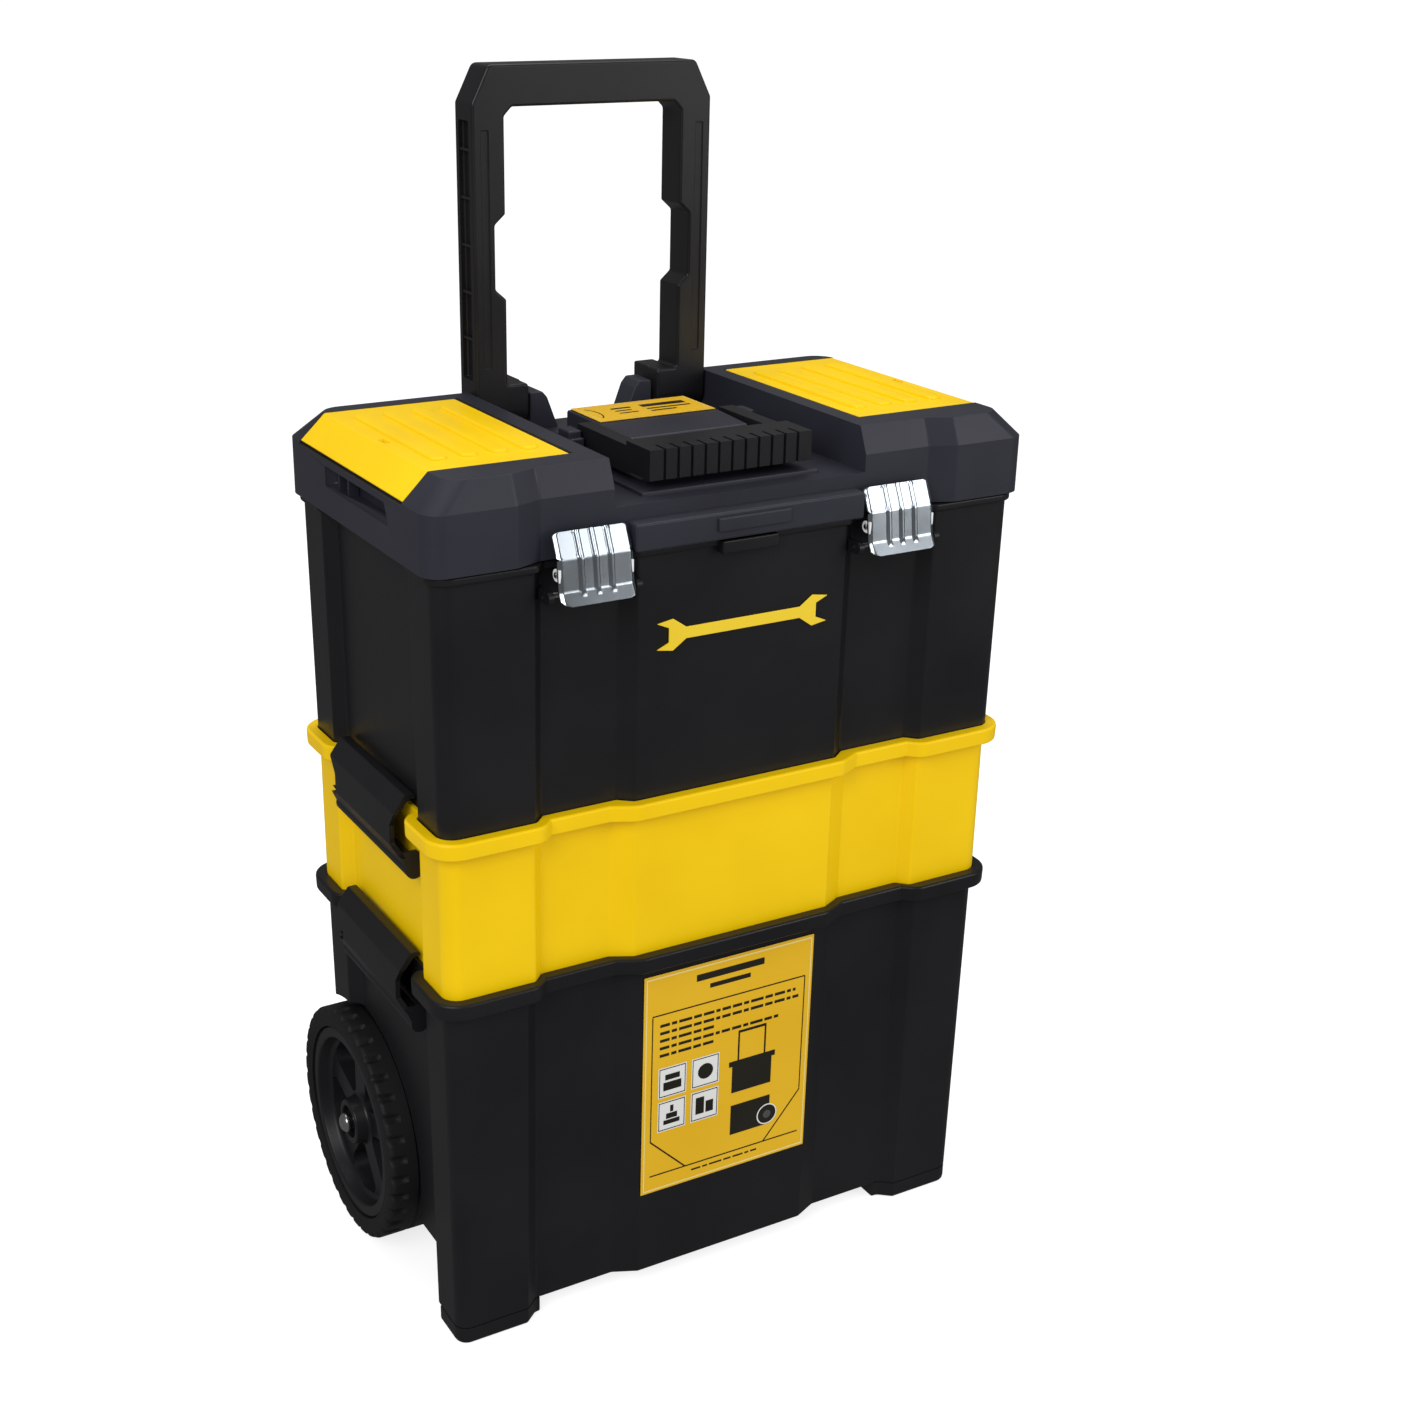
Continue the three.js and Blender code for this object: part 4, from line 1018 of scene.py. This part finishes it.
def bin_label_print():
    label, place = "bin_label", bin_label_place
    aspect = BIN_LABEL["wide"] / BIN_LABEL["tall"]
    pale = frame_of(0.012, 0.01, 0.988, 0.99, 0.007)
    printed("bin_label_edge", label, pale, PALE_INK, place)
    lines = [rect(0.05, 0.178, 0.955, 0.184), rect(0.05, 0.918, 0.955, 0.924)]
    lines += [rect(0.048, 0.184, 0.054, 0.76), rect(0.951, 0.184, 0.957, 0.72)]
    lines += [stroke(0.051, 0.757, 0.26, 0.92, 0.007), stroke(0.954, 0.717, 0.74, 0.92, 0.007)]
    lines += [rect(0.3, 0.045, 0.7, 0.075), rect(0.38, 0.098, 0.62, 0.118)]
    for row, end in enumerate((0.9, 0.92, 0.42, 0.8, 0.42)):
        lines += word_bars(0.095, 0.225 + 0.034 * row, end, 0.013)
    lines += word_bars(0.3, 0.945, 0.7, 0.008)
    lines += [rect(0.56, 0.352, 0.73, 0.364), rect(0.56, 0.364, 0.57, 0.49), rect(0.72, 0.364, 0.73, 0.49)]
    lines += [rect(0.51, 0.49, 0.79, 0.515), rect(0.53, 0.515, 0.77, 0.64), rect(0.53, 0.7, 0.77, 0.84)]
    printed("bin_label_ink", label, lines, INK, place)
    tiles = [(u, v) for u in (0.09, 0.285) for v in (0.425, 0.582)]
    printed("bin_label_tiles", label, [rect(u, v, u + 0.165, v + 0.14) for u, v in tiles], WHITE_INK, place)
    marks = []
    for u, v in tiles:
        marks += frame_of(u + 0.006, v + 0.005, u + 0.159, v + 0.135, 0.004)
    for (u, v), pictogram in zip(tiles, TILE_MARKS):
        marks += [rect(u + u0, v + v0, u + u1, v + v1) for u0, v0, u1, v1 in pictogram]
    u, v = tiles[2]
    marks.append(disc_of(u + 0.083, v + 0.07, 0.045, aspect))
    printed("bin_label_marks", label, marks, INK, place, 2)
    printed("bin_label_wheel", label, [disc_of(0.755, 0.79, 0.062, aspect)], WHITE_INK, place, 2)
    printed("bin_label_tyre", label, [disc_of(0.755, 0.79, 0.055, aspect)], INK, place, 3)
    printed("bin_label_hub", label, [disc_of(0.755, 0.79, 0.024, aspect)], GREY_INK, place, 4)


def lid_label_print():
    label, place = "lid_label", lid_label_place
    printed("lid_label_edge", label, frame_of(0.02, 0.035, 0.98, 0.965, 0.008), PALE_INK, place)
    arc = []
    for i in range(10):
        a, b = math.radians(-60 + 12 * i), math.radians(-48 + 12 * i)
        ends = [(0.02 + 0.1 * math.cos(t), 0.5 - 0.36 * math.sin(t)) for t in (a, b)]
        arc.append(stroke(*ends[0], *ends[1], 0.012))
    marks = [rect(0.26, 0.3, 0.43, 0.37), rect(0.26, 0.47, 0.4, 0.52), rect(0.26, 0.62, 0.42, 0.67)]
    marks += [rect(0.52, 0.26, 0.9, 0.42), rect(0.52, 0.52, 0.9, 0.58), rect(0.52, 0.67, 0.74, 0.73)]
    printed("lid_label_ink", label, arc + marks, INK, place)


def keep(node_name):
    """A CAD node that is shown as it is, with its edges eased and its own finish."""
    shown = frame["nodes"][node_name]
    shown.data.materials.clear()
    shown.data.materials.append(MATERIALS[SLOT[node_name]])
    weld = shown.modifiers.new("weld", "WELD")
    weld.merge_threshold = 2e-6
    rounding = shown.modifiers.new("rounding", "BEVEL")
    rounding.limit_method = "ANGLE"
    rounding.angle_limit = math.radians(40)
    rounding.width = 0.0004
    rounding.segments = 2
    even = shown.modifiers.new("even", "WEIGHTED_NORMAL")
    even.keep_sharp = True
    shown.data.shade_smooth()
    return shown


# ---- Stage ----------------------------------------------------------------------------------------
def camera():
    """The view from the front left, a little above the lid."""
    yaw, pitch, roll = 0.50753, -0.37811, 0.00864
    ahead = Vector((math.sin(yaw) * math.cos(pitch), math.cos(yaw) * math.cos(pitch), math.sin(pitch)))
    level = Vector((math.cos(yaw), -math.sin(yaw), 0))
    upright = level.cross(ahead)
    right = math.cos(roll) * level + math.sin(roll) * upright
    up = math.cos(roll) * upright - math.sin(roll) * level
    data = bpy.data.cameras.new("camera")
    data.lens = 49.776
    data.sensor_width = 36
    data.shift_x, data.shift_y = 0.06154, 0.00207
    made = bpy.data.objects.new("camera", data)
    turned = Matrix((right, up, -ahead)).transposed().to_4x4()
    made.matrix_world = Matrix.Translation((-0.66611, -1.1634, 0.93297)) @ turned
    bpy.context.scene.collection.objects.link(made)
    bpy.context.scene.camera = made


def softbox(name, place, aim, size, power):
    data = bpy.data.lights.new(name, "AREA")
    data.shape = "RECTANGLE"
    data.size, data.size_y = size
    data.energy = power
    made = bpy.data.objects.new(name, data)
    made.location = place
    made.rotation_euler = (Vector(aim) - Vector(place)).to_track_quat("-Z", "Y").to_euler()
    bpy.context.scene.collection.objects.link(made)


def stage():
    """The white floor, the sky and three soft lights."""
    mesh = bpy.data.meshes.new("floor")
    reach = 40
    corners = [(-reach, -reach, 0), (reach, -reach, 0), (reach, reach, 0), (-reach, reach, 0)]
    mesh.from_pydata(corners, [], [(0, 1, 2, 3)])
    floor = bpy.data.objects.new("floor", mesh)
    bpy.context.scene.collection.objects.link(floor)
    grey = (0.45, 0.45, 0.45, 1)
    material, _, surface = shader("floor", Base_Color=grey, Roughness=0.8, Specular_IOR_Level=0.1)
    surface.inputs["Emission Color"].default_value = (1, 1, 1, 1)
    surface.inputs["Emission Strength"].default_value = 0.78
    mesh.materials.append(material)
    floor.visible_glossy = False
    floor.visible_diffuse = False
    world = bpy.data.worlds.new("studio")
    world.use_nodes = True
    tree = world.node_tree
    back = tree.nodes["Background"]
    ray = node(tree, "ShaderNodeLightPath")
    dim = node(tree, "ShaderNodeMapRange")
    dim.inputs["To Min"].default_value = 0.6
    dim.inputs["To Max"].default_value = 0.13
    tree.links.new(ray.outputs["Is Glossy Ray"], dim.inputs["Value"])
    level = node(tree, "ShaderNodeMapRange")
    level.inputs["To Max"].default_value = 1.03
    tree.links.new(dim.outputs["Result"], level.inputs["To Min"])
    tree.links.new(ray.outputs["Is Camera Ray"], level.inputs["Value"])
    tree.links.new(level.outputs["Result"], back.inputs["Strength"])
    back.inputs["Color"].default_value = (1, 1, 1, 1)
    bpy.context.scene.world = world
    softbox("key", (-2.2, -1.6, 2.2), (0, 0, 0.4), (1.6, 1.6), 45)
    softbox("fill", (1.8, -2.4, 1.4), (0, 0, 0.4), (1.2, 1.8), 24)
    softbox("top", (0.3, 0.6, 2.6), (0, 0, 0.5), (2.0, 1.4), 24)
    bpy.context.scene.view_settings.view_transform = "Standard"


# ---- The whole ------------------------------------------------------------------------------------
camera()
stage()
lower_bin()
tote_tray()
tool_box_body()
lid()
carry_handle()
pull_handle()
for end, sign in SIDES:
    tyre("tyre_" + end, sign)
    wheel("wheel_" + end, sign)
    axle_cap("axle_cap_" + end, sign)
    clip("clip_lower_" + end, sign, BIN["top"])
    clip("clip_upper_" + end, sign, TRAY["top"])
    organizer("organizer_" + end, sign)
    latch_plate("latch_plate_" + end, sign)
for shown in frame["nodes"].values():
    if not shown.hide_render:
        keep(shown.name)
bin_label_print()
lid_label_print()
